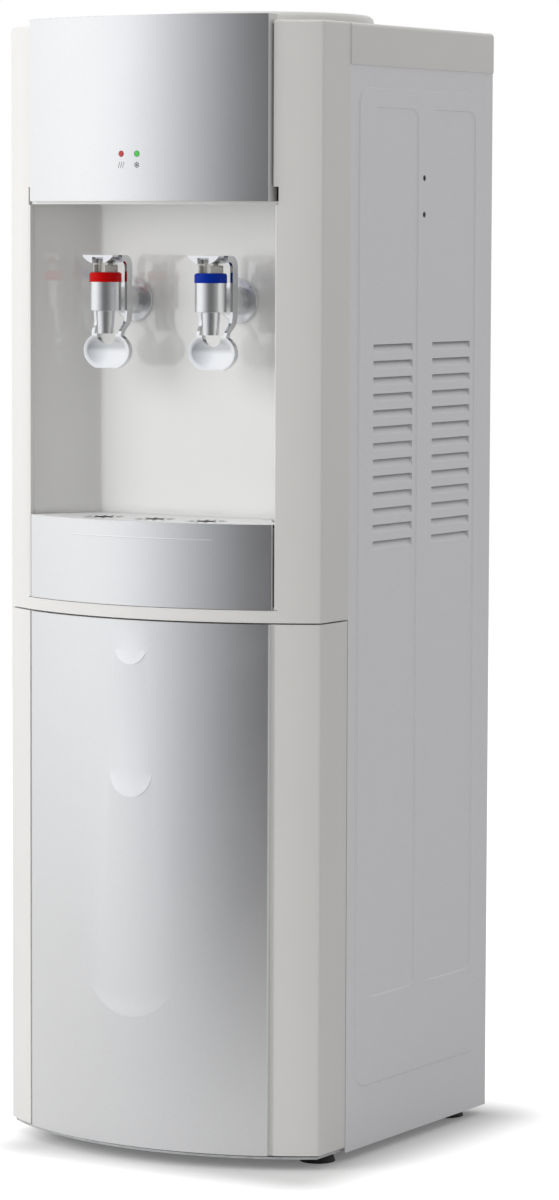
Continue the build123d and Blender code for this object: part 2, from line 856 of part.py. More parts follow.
# Drip tray: a tub in the bay under the taps, behind a bowed silver front
tray_wall = 2
tray_front_thickness = 3
tray_back_gap = 1.5
tub_end_inset = 1
grille_thickness = 3
tub_bottom = lip_top + alcove_wall
tub_half = tray_half - tub_end_inset
tub_radius = front_radius + tray_proud - tray_front_thickness - joint_gap
tub_back = alcove_face - tray_back_gap
tub_top = tray_top - grille_thickness
with BuildPart() as drip_tray:
    extrude(splayed_plan(tub_bottom, tub_half, tub_radius, tub_back), tub_top - tub_bottom)
    well_half = tub_half - tray_wall
    extrude(
        splayed_plan(tub_bottom + tray_wall, well_half, tub_radius - tray_wall, tub_back - tray_wall),
        tub_top - tub_bottom,
        mode=Mode.SUBTRACT,
    )
drip_tray.part.label = "drip_tray"
export_step(drip_tray.part, "parts/drip_tray.step")

tray_radius = front_radius + tray_proud
with BuildPart() as drip_tray_front:
    extrude(bowed_band(tray_bottom, tray_half, tray_radius, tray_front_thickness), tray_height)
    fillet(front_edges(drip_tray_front), panel_round)
drip_tray_front.part.label = "drip_tray_front"
export_step(drip_tray_front.part, "parts/drip_tray_front.step")

# Drip grille: a flat plate on the tub's rim with three rosettes, each an open eye in a ring of radial slots
rosette_spread = 51.4
rosette_setback = 36
rosette_y = front_apex + rosette_setback
rosette_slots = 12
rosette_eye = 8.5
rosette_inner = 11
rosette_outer = 17.5
rosette_slot_width = 3
with BuildPart() as drip_grille:
    extrude(
        splayed_plan(tub_top, tub_half - joint_gap, tub_radius - curve_gap, tub_back + joint_gap),
        grille_thickness,
    )
    with BuildSketch(Plane.XY.offset(tub_top)):
        with Locations(*[(place * rosette_spread, rosette_y) for place in (-1, 0, 1)]):
            Circle(rosette_eye)
            with PolarLocations((rosette_inner + rosette_outer) / 2, rosette_slots):
                Rectangle(rosette_outer - rosette_inner, rosette_slot_width)
    extrude(amount=grille_thickness, mode=Mode.SUBTRACT)
drip_grille.part.label = "drip_grille"
export_step(drip_grille.part, "parts/drip_grille.step")

# Taps: the same push-lever tap twice, hot on the left and cold on the right. The body's heights count
# from the inlet and the lever's from the cross pin
nozzle_drop = 28
nozzle_radius = 7.8
nozzle_tip_radius = 7
nozzle_bore = 4.6
barrel_drop = 9.4
barrel_rise = 15.4
barrel_radius = 13.3
barrel_shoulder = 0.8
chamber_radius = 9
chamber_drop = 5.5
inlet_radius = 10
inlet_taper = 2.5
inlet_bore = 4
flange_plate_radius = 18.75
flange_plate = 3
flange_plate_round = 1
collar_ring_radius = 13.7
collar_ring_height = 8.2
collar_ring_round = 2.2
neck_radius = 10.5
neck_height = 6.4
neck_edge = 1
plug_depth = 6.4
stem_radius = 4
stem_clearance = 0.05
seal_radius = 7.5
seal_height = 5
seal_top_radius = 5
spring_wire = 2.2
head_width = 10
head_rib = 2
head_groove = 1.2
head_crown = 1.4
cap_gap = 0.3
cap_height = 7.7
cap_edge = 1.2
cap_half = 15
cap_reach = 12
cap_tail = 11.5
cap_plate = 1.8
pin_radius = 1.3
pin_rise = 2.9
pin_reach = 10
slot_gap = 0.5
slot_reach = 6.5
arm_inner = 14.4
arm_thickness = 2.5
arm_front = 7.5
arm_depth = 8
arm_top = 4.7
arm_round = 9
arm_hollow = 6
arm_knee = 45
arm_bend_top = 49
arm_bend_bottom = 63
arm_foot_inner = 9.5
arm_foot_outer = 13
paddle_setback = 1.1
paddle_thickness = 5.5
paddle_half = 23
paddle_rise = 16.5
paddle_drop = 76
paddle_foot = 90.5
paddle_notch = 9.5
paddle_notch_drop = 61.5
dish_depth = 2.4
dish_half = 12.5
dish_sweep = 83
nut_radius = 17
nut_thickness = 8
nut_sides = 6
nozzle_bottom = tap_z - nozzle_drop
barrel_bottom = tap_z - barrel_drop
barrel_top = tap_z + barrel_rise
chamber_floor = tap_z - chamber_drop
neck_bottom = barrel_top + collar_ring_height
neck_top = neck_bottom + neck_height
cap_bottom = neck_top + cap_gap
cap_top = cap_bottom + cap_height
pin_z = cap_bottom + pin_rise
seal_top = chamber_floor + seal_height
plug_bottom = barrel_top - plug_depth
stem_bore = stem_radius + stem_clearance
head_bottom = neck_bottom + cap_gap
head_top = pin_z + head_crown
head_half = head_width / 2
arm_outer = arm_inner + arm_thickness
arm_back = arm_front + arm_depth
paddle_back = paddle_setback + paddle_thickness
paddle_z = pin_z - paddle_drop

for side, heat in ((-1, "hot"), (1, "cold")):
    tap_x = side * tap_spread / 2
    tap_axis = Axis((tap_x, tap_y, 0), (0, 0, 1))
    tap_plane = Plane(origin=(tap_x, tap_y, 0), x_dir=(1, 0, 0), z_dir=(0, -1, 0))
    side_plane = Plane(origin=(tap_x, tap_y, 0), x_dir=(0, 1, 0), z_dir=(1, 0, 0))

    # Body: barrel and nozzle turned about the upright axis, with a flanged inlet through the wall
    with BuildPart() as tap_body:
        revolve(
            outline(
                tap_plane,
                (0, nozzle_bottom),
                (nozzle_tip_radius, nozzle_bottom),
                (nozzle_radius, barrel_bottom),
                (barrel_radius, barrel_bottom + barrel_shoulder),
                (barrel_radius, barrel_top),
                (0, barrel_top),
            ),
            axis=tap_axis,
        )
        extrude(
            disc_facing_back(tap_y, tap_x, tap_z, inlet_radius),
            alcove_face - tap_y,
            taper=-inlet_taper,
        )
        extrude(
            disc_facing_back(alcove_face - flange_plate, tap_x, tap_z, flange_plate_radius),
            flange_plate,
        )
        rims = tap_body.edges().filter_by(GeomType.CIRCLE)
        fillet(rims.sort_by(SortBy.RADIUS)[-2:].sort_by(Axis.Y)[0], flange_plate_round)
        extrude(disc_facing_back(alcove_face, tap_x, tap_z, spigot_radius), spigot_length)
        for low, high, radius in (
            (chamber_floor, barrel_top, chamber_radius),
            (nozzle_bottom, chamber_floor, nozzle_bore),
        ):
            extrude(ring(low, tap_x, tap_y, radius), high - low, mode=Mode.SUBTRACT)
        extrude(
            disc_facing_back(tap_y, tap_x, tap_z, inlet_bore),
            alcove_face + spigot_length - tap_y,
            mode=Mode.SUBTRACT,
        )
    tap_body.part.label = f"{heat}_tap_body"
    export_step(tap_body.part, f"parts/{heat}_tap_body.step")

    # Bonnet: closes the barrel, and its forked neck guides the head of the stem
    with BuildPart() as tap_bonnet:
        revolve(
            outline(
                tap_plane,
                (stem_bore, plug_bottom),
                (chamber_radius - joint_gap, plug_bottom),
                (chamber_radius - joint_gap, barrel_top),
                (neck_radius, barrel_top),
                (neck_radius, neck_top - neck_edge),
                (neck_radius - neck_edge, neck_top),
                (stem_bore, neck_top),
            ),
            axis=tap_axis,
        )
        fork = head_half + curve_gap
        extrude(
            slab(neck_bottom, tap_x - fork, tap_x + fork, tap_y - neck_radius, tap_y + neck_radius),
            neck_height,
            mode=Mode.SUBTRACT,
        )
    tap_bonnet.part.label = f"{heat}_tap_bonnet"
    export_step(tap_bonnet.part, f"parts/{heat}_tap_bonnet.step")

    # Collar: the coloured ring on the barrel
    with BuildPart() as tap_collar:
        extrude(
            ring(barrel_top, tap_x, tap_y, collar_ring_radius, neck_radius + joint_gap), collar_ring_height
        )
        rims = tap_collar.edges().filter_by(GeomType.CIRCLE)
        fillet(rims.sort_by(SortBy.RADIUS)[-2:].sort_by(Axis.Z)[-1], collar_ring_round)
    tap_collar.part.label = f"{heat}_tap_collar"
    export_step(tap_collar.part, f"parts/{heat}_tap_collar.step")

    # Spring: the space of the coil between the seal and the bonnet
    with BuildPart() as tap_spring:
        extrude(
            ring(seal_top + cap_gap, tap_x, tap_y, seal_top_radius + spring_wire, seal_top_radius),
            plug_bottom - seal_top - 2 * cap_gap,
        )
    tap_spring.part.label = f"{heat}_tap_spring"
    export_step(tap_spring.part, f"parts/{heat}_tap_spring.step")

    # Seal: a soft plug on the end of the stem that closes the nozzle
    with BuildPart() as tap_seal:
        revolve(
            outline(
                tap_plane,
                (0, chamber_floor),
                (seal_radius, chamber_floor),
                (seal_radius, chamber_floor + seal_height / 2),
                (seal_top_radius, seal_top),
                (0, seal_top),
            ),
            axis=tap_axis,
        )
    tap_seal.part.label = f"{heat}_tap_seal"
    export_step(tap_seal.part, f"parts/{heat}_tap_seal.step")

    # Stem: a rod with a ribbed flat head, and the cross pin that the lever tips on
    with BuildPart() as tap_stem:
        extrude(ring(seal_top, tap_x, tap_y, stem_radius), head_bottom - seal_top)
        head_front = tap_y - stem_radius
        head_back = tap_y + stem_radius
        extrude(
            slab(head_bottom, tap_x - head_half, tap_x + head_half, head_front, head_back),
            head_top - head_bottom,
        )
        web = head_half - head_rib
        for face in (tap_y - stem_radius, tap_y + stem_radius - head_groove):
            extrude(
                slab(head_bottom, tap_x - web, tap_x + web, face, face + head_groove),
                head_top - head_bottom,
                mode=Mode.SUBTRACT,
            )
        with BuildSketch(side_plane.offset(-pin_reach)):
            with Locations((0, pin_z)):
                Circle(pin_radius)
        extrude(amount=2 * pin_reach)
    tap_stem.part.label = f"{heat}_tap_stem"
    export_step(tap_stem.part, f"parts/{heat}_tap_stem.step")

    # Lever: a forked cap on the cross pin, with two arms that run down behind the barrel to a dished paddle
    with BuildPart() as tap_lever:
        bend_top = pin_z - arm_bend_top
        bend_bottom = pin_z - arm_bend_bottom
        bend_middle = (bend_top + bend_bottom) / 2
        foot_z = pin_z - paddle_foot
        under = cap_top - arm_top
        with BuildSketch(side_plane.offset(-paddle_half)):
            with BuildLine():
                Line((0, cap_top), (arm_back - arm_round, cap_top))
                RadiusArc((arm_back - arm_round, cap_top), (arm_back, cap_top - arm_round), arm_round)
                Line((arm_back, cap_top - arm_round), (arm_back, bend_top))
                Bezier(
                    (arm_back, bend_top),
                    (arm_back, bend_middle),
                    (paddle_back, bend_middle),
                    (paddle_back, bend_bottom),
                )
                Polyline(
                    (paddle_back, bend_bottom),
                    (paddle_back, foot_z),
                    (paddle_setback, foot_z),
                    (paddle_setback, bend_bottom),
                )
                Bezier(
                    (paddle_setback, bend_bottom),
                    (paddle_setback, bend_middle),
                    (arm_front, bend_middle),
                    (arm_front, bend_top),
                )
                Line((arm_front, bend_top), (arm_front, under - arm_hollow))
                RadiusArc((arm_front, under - arm_hollow), (arm_front - arm_hollow, under), -arm_hollow)
                Polyline((arm_front - arm_hollow, under), (0, under), (0, cap_top))
            make_face()
        extrude(amount=2 * paddle_half)

        # The front outline keeps two arms that draw together over an oval paddle with a flat foot
        knee_z = pin_z - arm_knee
        with BuildSketch(tap_plane.offset(-2 * arm_back)):
            for hand in (-1, 1):
                with BuildLine():
                    Polyline(
                        (hand * arm_inner, cap_top),
                        (hand * arm_outer, cap_top),
                        (hand * arm_outer, knee_z),
                        (hand * arm_foot_outer, paddle_z),
                        (hand * arm_foot_inner, paddle_z),
                        (hand * arm_inner, knee_z),
                        close=True,
                    )
                make_face()
            with Locations((0, paddle_z)):
                Ellipse(paddle_half, paddle_rise)
            with Locations((0, pin_z - paddle_notch_drop)):
                Circle(paddle_notch, mode=Mode.SUBTRACT)
        extrude(amount=4 * arm_back, mode=Mode.INTERSECT)

        # The dish of the paddle is turned about an upright axis in front of it
        dish_face = tap_y + paddle_setback
        dish_axis = Axis((tap_x, dish_face + dish_depth - dish_sweep, 0), (0, 0, 1))
        with BuildSketch(side_plane):
            with BuildLine():
                Line((paddle_setback, paddle_z - dish_half), (paddle_setback, paddle_z + dish_half))
                ThreePointArc(
                    (paddle_setback, paddle_z + dish_half),
                    (paddle_setback + dish_depth, paddle_z),
                    (paddle_setback, paddle_z - dish_half),
                )
            make_face()
        revolve(axis=dish_axis, mode=Mode.SUBTRACT)

        # The cap has a half-moon section under a thin plate, open at the front for the head of the stem
        with BuildSketch(tap_plane.offset(cap_reach)):
            with BuildLine():
                Polyline(
                    (-cap_half, cap_top - cap_edge),
                    (-cap_half, cap_top),
                    (cap_half, cap_top),
                    (cap_half, cap_top - cap_edge),
                )
                edge_z = cap_top - cap_edge
                ThreePointArc((cap_half, edge_z), (0, cap_bottom), (-cap_half, edge_z))
            make_face()
        extrude(amount=-cap_reach - cap_tail)
        slot_half = head_half + slot_gap
        slot_front = tap_y - cap_reach
        extrude(
            slab(cap_bottom, tap_x - slot_half, tap_x + slot_half, slot_front, tap_y + slot_reach),
            cap_height - cap_plate,
            mode=Mode.SUBTRACT,
        )
        with BuildSketch(side_plane.offset(-pin_reach - joint_gap)):
            with Locations((0, pin_z)):
                Circle(pin_radius + stem_clearance)
        extrude(amount=2 * pin_reach + 2 * joint_gap, mode=Mode.SUBTRACT)
    tap_lever.part.label = f"{heat}_tap_lever"
    export_step(tap_lever.part, f"parts/{heat}_tap_lever.step")

# Tap nuts: one hexagon nut behind the alcove wall on each spigot
with BuildPart() as tap_nuts:
    for side in (-1, 1):
        nut_origin = (side * tap_spread / 2, alcove_face + alcove_wall, tap_z)
        with BuildSketch(Plane(origin=nut_origin, x_dir=(-1, 0, 0), z_dir=(0, 1, 0))):
            RegularPolygon(nut_radius, nut_sides)
            Circle(spigot_radius + stem_clearance, mode=Mode.SUBTRACT)
        extrude(amount=nut_thickness)
tap_nuts.part.label = "tap_nuts"
export_step(tap_nuts.part, "parts/tap_nuts.step")

# Hot tank in its jacket, standing on the works shelf
jacket_wall = 12
hot_hose_x = -25
hot_hose_rise = 88
feed_hose_x = 20
feed_hose_back = 15
jacket_radius = hot_radius + jacket_wall
hot_hose_z = hot_bottom + hot_hose_rise
feed_hose_y = bottle_y + feed_hose_back
hot_front_wall = bottle_y - sqrt(hot_radius**2 - (abs(hot_hose_x) - hose_radius) ** 2)
with BuildPart() as hot_tank:
    revolve(
        outline(
            bottle_plane,
            (0, hot_bottom),
            (hot_radius, hot_bottom),
            (hot_radius, hot_top),
            (0, hot_top),
            (0, hot_top - tank_wall),
            (hot_radius - tank_wall, hot_top - tank_wall),
            (hot_radius - tank_wall, hot_bottom + tank_wall),
            (0, hot_bottom + tank_wall),
        ),
        axis=bottle_axis,
    )
    extrude(ring(hot_top - tank_wall, feed_hose_x, feed_hose_y, hose_bore), tank_wall, mode=Mode.SUBTRACT)
hot_tank.part.label = "hot_tank"
export_step(hot_tank.part, "parts/hot_tank.step")

with BuildPart() as hot_tank_jacket:
    extrude(ring(shelf_top, 0, bottle_y, jacket_radius), hot_top - shelf_top)
    extrude(ring(hot_bottom, 0, bottle_y, hot_radius + curve_gap), hot_top - hot_bottom, mode=Mode.SUBTRACT)
    extrude(
        disc_facing_back(bottle_y - jacket_radius, hot_hose_x, hot_hose_z, hose_radius + curve_gap),
        jacket_radius,
        mode=Mode.SUBTRACT,
    )
    extrude(
        disc_facing_back(bottle_y, 0, drain_z, drain_radius + curve_gap),
        jacket_radius,
        mode=Mode.SUBTRACT,
    )
hot_tank_jacket.part.label = "hot_tank_jacket"
export_step(hot_tank_jacket.part, "parts/hot_tank_jacket.step")

# Cold tank in its foam block, on a stand over the hot tank
foam_side = 27
stand_sheet = 1.5
foam_half = cold_radius + foam_side
stand_half = jacket_radius + power_width + 2 * power_room
cold_mouth = probe_radius + probe_flange
foam_top = cold_top + foam_lip
cold_hose_x = 30
block_half = 25
cold_front_wall = bottle_y - sqrt(cold_radius**2 - (cold_hose_x - hose_radius) ** 2)
with BuildPart() as tank_stand:
    extrude(slab(shelf_top, -stand_half, stand_half, foam_front, foam_rear), stand_top - shelf_top)
    extrude(
        slab(shelf_top, -stand_half + stand_sheet, stand_half - stand_sheet, foam_front, foam_rear),
        stand_top - stand_sheet - shelf_top,
        mode=Mode.SUBTRACT,
    )
    extrude(
        ring(stand_top - stand_sheet, feed_hose_x, feed_hose_y, hose_radius + curve_gap),
        stand_sheet,
        mode=Mode.SUBTRACT,
    )
tank_stand.part.label = "tank_stand"
export_step(tank_stand.part, "parts/tank_stand.step")

with BuildPart() as cold_tank:
    revolve(
        outline(
            bottle_plane,
            (0, cold_bottom),
            (cold_radius, cold_bottom),
            (cold_radius, cold_top),
            (cold_mouth, cold_top),
            (cold_mouth, cold_top - tank_wall),
            (cold_radius - tank_wall, cold_top - tank_wall),
            (cold_radius - tank_wall, cold_bottom + tank_wall),
            (0, cold_bottom + tank_wall),
        ),
        axis=bottle_axis,
    )
    extrude(ring(cold_bottom, feed_hose_x, feed_hose_y, hose_bore), tank_wall, mode=Mode.SUBTRACT)
cold_tank.part.label = "cold_tank"
export_step(cold_tank.part, "parts/cold_tank.step")

with BuildPart() as cold_tank_foam:
    extrude(slab(stand_top, -foam_half, foam_half, foam_front, foam_rear), foam_top - stand_top)
    for low, high, x, y, radius in (
        (cold_bottom, foam_top, 0, bottle_y, cold_radius),
        (stand_top, cold_bottom, feed_hose_x, feed_hose_y, hose_radius),
    ):
        extrude(ring(low, x, y, radius + curve_gap), high - low, mode=Mode.SUBTRACT)
    extrude(
        disc_facing_back(foam_front, cold_hose_x, tap_z, hose_radius + curve_gap),
        bottle_y - foam_front,
        mode=Mode.SUBTRACT,
    )
    window_size = 2 * block_half + 2 * curve_gap
    extrude(
        plate_facing_back(bottle_y, 0, fan_z, window_size, window_size),
        foam_rear - bottle_y,
        mode=Mode.SUBTRACT,
    )
cold_tank_foam.part.label = "cold_tank_foam"
export_step(cold_tank_foam.part, "parts/cold_tank_foam.step")

# Hoses: tap to cold tank, tap to hot tank, and the feed between the two tanks
hose_routes = {
    "cold_tube": (
        (tap_spread / 2, tap_end, tap_z),
        (tap_spread / 2, tap_end + cold_hose_lead, tap_z),
        (cold_hose_x, tap_end + cold_hose_lead, tap_z),
        (cold_hose_x, cold_front_wall - curve_gap, tap_z),
    ),
    "hot_tube": (
        (-tap_spread / 2, tap_end, tap_z),
        (-tap_spread / 2, tap_end + hot_hose_lead, tap_z),
        (hot_hose_x, tap_end + hot_hose_lead, hot_hose_z),
        (hot_hose_x, hot_front_wall - curve_gap, hot_hose_z),
    ),
}
for name, route in hose_routes.items():
    with BuildPart() as hose:
        with BuildLine():
            FilletPolyline(*route, radius=hose_bend)
        with BuildSketch(Plane(origin=route[0], z_dir=(0, 1, 0))):
            Circle(hose_radius)
            Circle(hose_bore, mode=Mode.SUBTRACT)
        sweep()
    hose.part.label = name
    export_step(hose.part, f"parts/{name}.step")

with BuildPart() as hot_feed_tube:
    extrude(ring(hot_top, feed_hose_x, feed_hose_y, hose_radius, hose_bore), cold_bottom - hot_top)
hot_feed_tube.part.label = "hot_feed_tube"
export_step(hot_feed_tube.part, "parts/hot_feed_tube.step")

# Drain: a pipe from the foot of the hot tank to the rear, closed by a plug
drain_bore = 5
drain_end = rear_outside + sheet
plug_radius = 10
plug_thickness = 2.5
plug_stub = 8
plug_round = 0.8
with BuildPart() as drain_pipe:
    pipe_start = bottle_y + hot_radius + curve_gap
    pipe_length = drain_end - pipe_start
    extrude(disc_facing_back(pipe_start, 0, drain_z, drain_radius), pipe_length)
    extrude(disc_facing_back(pipe_start, 0, drain_z, drain_bore), pipe_length, mode=Mode.SUBTRACT)
drain_pipe.part.label = "drain_pipe"
export_step(drain_pipe.part, "parts/drain_pipe.step")

with BuildPart() as drain_plug:
    extrude(disc_facing_back(drain_end, 0, drain_z, plug_radius), plug_thickness)
    extrude(disc_facing_back(drain_end - plug_stub, 0, drain_z, drain_bore - joint_gap), plug_stub)
    fillet(drain_plug.edges().filter_by(GeomType.CIRCLE).sort_by(Axis.Y)[-1], plug_round)
drain_plug.part.label = "drain_plug"
export_step(drain_plug.part, "parts/drain_plug.step")

# Cooling module: an aluminium block on the cold tank and the thermoelectric plate behind it
cell_half = 20
with BuildPart() as cooling_module:
    extrude(plate_facing_back(bottle_y, 0, fan_z, 2 * block_half, 2 * block_half), block_rear - bottle_y)
    extrude(
        ring(cold_bottom, 0, bottle_y, cold_radius + curve_gap),
        cold_top - cold_bottom,
        mode=Mode.SUBTRACT,
    )
    extrude(plate_facing_back(block_rear, 0, fan_z, 2 * cell_half, 2 * cell_half), cell_thickness)
cooling_module.part.label = "cooling_module"
export_step(cooling_module.part, "parts/cooling_module.step")

# Heat sink: a base on the thermoelectric plate with upright fins towards the fan
sink_half = 55
fin_thickness = 1.6
fin_count = 14
fin_pitch = (2 * sink_half - fin_thickness) / (fin_count - 1)
with BuildPart() as heat_sink:
    extrude(plate_facing_back(sink_front, 0, fan_z, 2 * sink_half, 2 * sink_half), sink_base)
    for fin in range(fin_count):
        fin_x = -sink_half + fin_thickness / 2 + fin * fin_pitch
        extrude(
            plate_facing_back(sink_front + sink_base, fin_x, fan_z, fin_thickness, 2 * sink_half),
            fin_depth,
        )
heat_sink.part.label = "heat_sink"
export_step(heat_sink.part, "parts/heat_sink.step")

# Fan: a square frame with a spoked motor plate, and a rotor with pitched blades on its shaft
spoke_depth = 4
spoke_width = 5
hub_radius = 15
shaft_radius = 2
blade_count = 7
blade_reach = 40
blade_chord = 9
blade_thickness = 1.5
blade_pitch = 35
fan_corner = 5
spoke_front = fan_front + fan_depth - spoke_depth
with BuildPart() as fan_frame:
    extrude(plate_facing_back(fan_front, 0, fan_z, fan_size, fan_size, fan_corner), fan_depth)
    extrude(disc_facing_back(fan_front, 0, fan_z, fan_hole_radius), fan_depth, mode=Mode.SUBTRACT)
    extrude(disc_facing_back(spoke_front, 0, fan_z, hub_radius), spoke_depth)
    spoke_length = 2 * fan_hole_radius + spoke_width
    for width, tall in ((spoke_length, spoke_width), (spoke_width, spoke_length)):
        extrude(plate_facing_back(spoke_front, 0, fan_z, width, tall), spoke_depth)
    extrude(
        disc_facing_back(spoke_front, 0, fan_z, shaft_radius + stem_clearance),
        spoke_depth,
        mode=Mode.SUBTRACT,
    )
fan_frame.part.label = "fan_frame"
export_step(fan_frame.part, "parts/fan_frame.step")

hub_front = fan_front + blade_thickness
hub_rear = spoke_front - joint_gap
blade_y = (hub_front + hub_rear) / 2
with BuildPart() as fan_rotor:
    extrude(disc_facing_back(hub_front, 0, fan_z, hub_radius), hub_rear - hub_front)
    extrude(disc_facing_back(hub_rear, 0, fan_z, shaft_radius), spoke_depth)
    for blade in range(blade_count):
        turn = radians(360 * blade / blade_count)
        outward = Vector(cos(turn), 0, sin(turn))
        across = Vector(-sin(turn), 0, cos(turn))
        along = Vector(0, cos(radians(blade_pitch)), 0) + across * sin(radians(blade_pitch))
        root = Vector(0, blade_y, fan_z) + outward * (hub_radius - blade_thickness)
        with BuildSketch(Plane(origin=root, x_dir=along, z_dir=outward)):
            Rectangle(blade_chord, blade_thickness)
        extrude(amount=blade_reach - hub_radius)
fan_rotor.part.label = "fan_rotor"
export_step(fan_rotor.part, "parts/fan_rotor.step")

# Power board: a circuit board on four posts on the works shelf. Each of its larger components is given by
# its place across and along the board, and its width, depth and height
power_depth = 100
power_setback = 12
power_post = 8
power_post_radius = 3
power_parts = ((-8, 25, 26, 30, 24), (-6, -25, 20, 16, 18), (12, -5, 10, 10, 20), (12, -22, 10, 10, 20))
power_x = jacket_radius + power_room + power_width / 2
power_y = bottle_y - power_setback
power_low = shelf_top + power_post
with BuildPart() as power_board:
    with Locations((power_x, power_y, power_low)):
        Box(power_width, power_depth, board_thickness, align=standing)
    with Locations((power_x, power_y, shelf_top)):
        with GridLocations(power_width - 4 * power_post_radius, power_depth - 4 * power_post_radius, 2, 2):
            Cylinder(power_post_radius, power_post, align=standing)
    for x, y, width, depth, height in power_parts:
        with Locations((power_x + x, power_y + y, power_low + board_thickness)):
            Box(width, depth, height, align=standing)
power_board.part.label = "power_board"
export_step(power_board.part, "parts/power_board.step")

# Rear switches: a housing in the rear panel with two wells, and a rocker on trunnions in each
housing_depth = 16
housing_flange = 3
housing_flange_thickness = 1.2
well_depth = 12
rocker_side_gap = 0.3
rocker_half = 9.8
rocker_front = 3
rocker_back = 5
rocker_dip = 1.2
rocker_tilt = 8
trunnion_radius = 1.5
trunnion_reach = 2.5
trunnion_inset = 1
trunnion_y = rear_outside - trunnion_inset
rocker_places = [
    switch_x + place * (switch_well_width + switch_well_gap) / 2 for place in (-1, 1)
]
with BuildPart() as switch_housing:
    extrude(
        plate_facing_back(
            rear_outside - housing_depth,
            switch_x,
            switch_z,
            switch_body_width - 2 * joint_gap,
            switch_body_tall - 2 * joint_gap,
        ),
        housing_depth,
    )
    extrude(
        plate_facing_back(
            rear_outside,
            switch_x,
            switch_z,
            switch_body_width + 2 * housing_flange,
            switch_body_tall + 2 * housing_flange,
            housing_flange,
        ),
        housing_flange_thickness,
    )
    for rocker_x in rocker_places:
        extrude(
            plate_facing_back(
                rear_outside + housing_flange_thickness,
                rocker_x,
                switch_z,
                switch_well_width,
                switch_well_tall,
            ),
            -well_depth,
            mode=Mode.SUBTRACT,
        )
        reach = switch_well_width / 2 + trunnion_reach + joint_gap
        bore_start = (rocker_x - reach, trunnion_y, switch_z)
        with BuildSketch(Plane(origin=bore_start, x_dir=(0, 1, 0), z_dir=(1, 0, 0))):
            Circle(trunnion_radius + stem_clearance)
        extrude(amount=2 * reach, mode=Mode.SUBTRACT)
switch_housing.part.label = "switch_housing"
export_step(switch_housing.part, "parts/switch_housing.step")

tilted = Vector(0, cos(radians(rocker_tilt)), -sin(radians(rocker_tilt)))
for rocker_x, name in zip(rocker_places, ("hot_switch", "cold_switch")):
    half = switch_well_width / 2 - rocker_side_gap
    reach = switch_well_width / 2 + trunnion_reach
    rocker_origin = Vector(rocker_x, trunnion_y, switch_z)
    with BuildPart() as rocker:
        extrude(
            outline(
                Plane(origin=rocker_origin - Vector(half, 0, 0), x_dir=tilted, z_dir=(1, 0, 0)),
                (-rocker_back, -rocker_half),
                (rocker_front, -rocker_half),
                (rocker_front - rocker_dip, 0),
                (rocker_front, rocker_half),
                (-rocker_back, rocker_half),
            ),
            2 * half,
        )
        trunnion_end = rocker_origin - Vector(reach, 0, 0)
        with BuildSketch(Plane(origin=trunnion_end, x_dir=(0, 1, 0), z_dir=(1, 0, 0))):
            Circle(trunnion_radius)
        extrude(amount=2 * reach)
    rocker.part.label = name
    export_step(rocker.part, f"parts/{name}.step")

# Cable gland: a bushing for the supply lead, clamped on both faces of the rear panel
gland_flange = 11
gland_face = 3
gland_nut = 6
gland_bore = 4
gland_round = 1
with BuildPart() as cable_gland:
    gland_start = rear_inside - gland_nut
    extrude(disc_facing_back(gland_start, gland_x, gland_z, gland_radius), gland_nut + sheet)
    extrude(disc_facing_back(gland_start, gland_x, gland_z, gland_flange), gland_nut)
    extrude(disc_facing_back(rear_outside, gland_x, gland_z, gland_flange), gland_face)
    fillet(cable_gland.edges().filter_by(GeomType.CIRCLE).sort_by(Axis.Y)[-1], gland_round)
    extrude(
        disc_facing_back(gland_start, gland_x, gland_z, gland_bore),
        gland_nut + sheet + gland_face,
        mode=Mode.SUBTRACT,
    )
cable_gland.part.label = "cable_gland"
export_step(cable_gland.part, "parts/cable_gland.step")
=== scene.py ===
# %% [markdown]
# A water cooler in the studio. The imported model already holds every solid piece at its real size,
# in metres, with the front facing -Y. This lesson dresses it: a camera, a soft studio, a finish for
# each kind of surface, and the few small pieces that are looks rather than construction. Nothing in
# the frame is moved.

# %% Load the frame and keep its box
import bmesh
import bpy
import math
import numpy as np
from mathutils import Matrix, Vector


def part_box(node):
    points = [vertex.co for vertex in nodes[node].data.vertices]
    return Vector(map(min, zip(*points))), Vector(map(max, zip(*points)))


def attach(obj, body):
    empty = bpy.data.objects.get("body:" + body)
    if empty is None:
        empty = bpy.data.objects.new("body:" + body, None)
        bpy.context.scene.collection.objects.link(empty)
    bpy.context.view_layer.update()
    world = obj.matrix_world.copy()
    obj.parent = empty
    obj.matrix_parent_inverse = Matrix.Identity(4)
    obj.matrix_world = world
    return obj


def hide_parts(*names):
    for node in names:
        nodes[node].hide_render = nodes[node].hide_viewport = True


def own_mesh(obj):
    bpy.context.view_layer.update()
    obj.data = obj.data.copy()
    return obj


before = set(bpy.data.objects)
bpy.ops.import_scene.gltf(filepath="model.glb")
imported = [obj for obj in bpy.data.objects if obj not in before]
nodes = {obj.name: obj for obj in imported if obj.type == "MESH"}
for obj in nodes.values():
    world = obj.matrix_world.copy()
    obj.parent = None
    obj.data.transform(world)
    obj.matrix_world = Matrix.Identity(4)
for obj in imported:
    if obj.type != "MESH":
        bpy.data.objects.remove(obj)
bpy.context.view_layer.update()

# %% [markdown]
# The camera. A long lens a few metres away keeps the upright edges nearly parallel, as in a
# catalogue picture. Instead of aiming by hand, the camera's three axes are worked out from an
# azimuth, a pitch and a small roll that were fitted to the corners of the real cooler, so its
# matrix is written in one go.

# %% Camera
VIEW_AZIMUTH = math.radians(31.41)
VIEW_PITCH = math.radians(4.90)
VIEW_ROLL = math.radians(0.21)
VIEW_TARGET = Vector((-0.12423, 0.2742, 0.43769))
VIEW_DISTANCE = 4.07265
FOCAL_PIXELS = 4344.23
PHOTO_HEIGHT = 1200
SENSOR = 36

